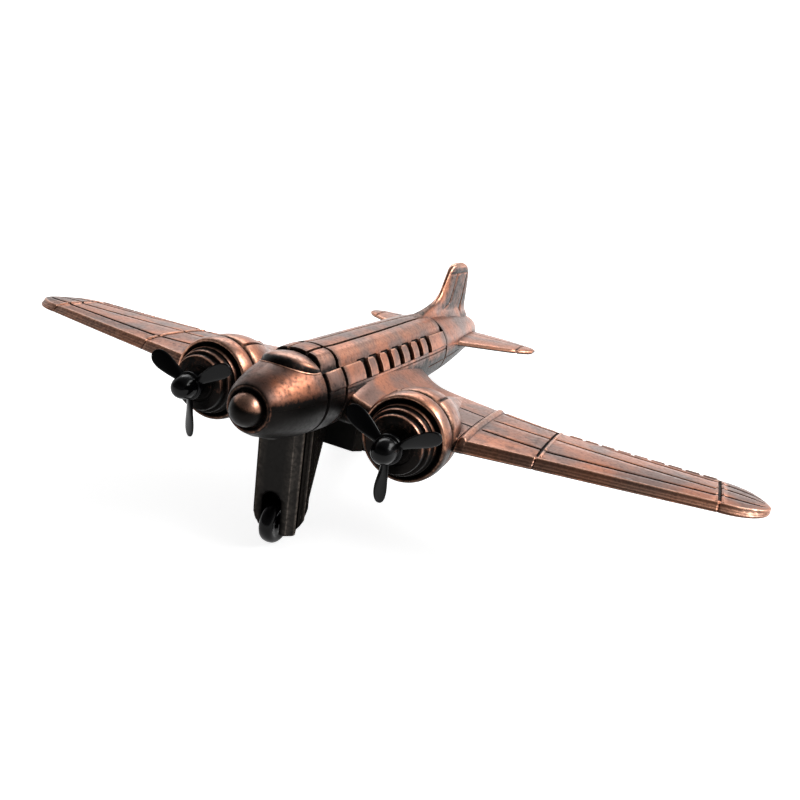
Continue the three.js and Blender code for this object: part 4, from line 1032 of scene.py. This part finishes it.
# ------------ floor, light and camera
FLOOR_R = 1.6
rim = [(FLOOR_R * np.cos(t), FLOOR_R * np.sin(t), 0.0) for t in np.radians(np.arange(0, 360, 5))]
floor_mesh = bpy.data.meshes.new("floor")
floor_mesh.from_pydata(rim, [], [list(range(len(rim)))])
floor = add("floor", floor_mesh)
paper, paper_graph = shader("pale_floor")
paper_graph.surface({"Base Color": (0.8, 0.8, 0.8, 1), "Roughness": 0.8, "Emission Color": (1, 1, 1, 1),
                     "Emission Strength": 0.82})
floor_mesh.materials.append(paper)

# A white room whose reflections are bright low down behind the model and dim overhead and in front.
world = bpy.data.worlds.new("studio")
world.use_nodes = True
sky = Graph(world.node_tree)
towards = sky.node("ShaderNodeSeparateXYZ", {"Vector": sky.node("ShaderNodeTexCoord").outputs["Generated"]})
behind = sky.span(towards.outputs["Y"], -0.45, 0.35, 0.20, 1.0)
low = sky.math("MULTIPLY", sky.span(towards.outputs["Z"], -0.1, 0.3, 0.60, 1.0),
               sky.span(towards.outputs["Z"], 0.80, 0.30, 0.26, 1.05))
seen = sky.node("ShaderNodeLightPath").outputs["Is Camera Ray"]
strength = sky.math("MAXIMUM", sky.math("MULTIPLY", behind, low), sky.math("MULTIPLY", seen, 1.2))
world.node_tree.links.new(strength, world.node_tree.nodes["Background"].inputs["Strength"])
world.node_tree.nodes["Background"].inputs["Color"].default_value = (1, 1, 1, 1)
bpy.context.scene.world = world


def softbox(name, at, aim, size, power):
    data = bpy.data.lights.new(name, "AREA")
    data.shape, data.size, data.size_y, data.energy = "RECTANGLE", size[0], size[1], power
    lamp = add(name, data)
    lamp.location = at
    lamp.rotation_euler = (Vector(aim) - Vector(at)).to_track_quat("-Z", "Y").to_euler()


softbox("key", (0.26, 0.16, 0.25), (0, -0.02, 0.01), (0.34, 0.14), 1.7)
softbox("back", (-0.20, 0.42, 0.26), (0, 0, 0.01), (0.40, 0.16), 0.7)

# The camera, from its place, its right and up directions in the airframe's axes.
EYE = (46.0294521557199, -106.80949083214978, 32.83485151181202)
EYE_RIGHT = (0.9038472509300192, 0.3924206661315488, 0.170488028257466)
EYE_UP = (-0.26622020782170497, 0.20387505610802478, 0.9421049636024204)
LENS = 33.95
right, up = PITCH @ np.array(EYE_RIGHT), PITCH @ np.array(EYE_UP)
camera_data = bpy.data.cameras.new("camera")
camera_data.lens, camera_data.sensor_width = LENS, 36.0
camera_data.clip_start = 0.005
camera = add("camera", camera_data)
basis = Matrix(np.stack([right, up, np.cross(right, up)], axis=1).tolist()).to_4x4()
camera.matrix_world = Matrix.Translation(Vector(place(EYE))) @ basis
bpy.context.scene.camera = camera
bpy.context.scene.view_settings.view_transform = "Standard"
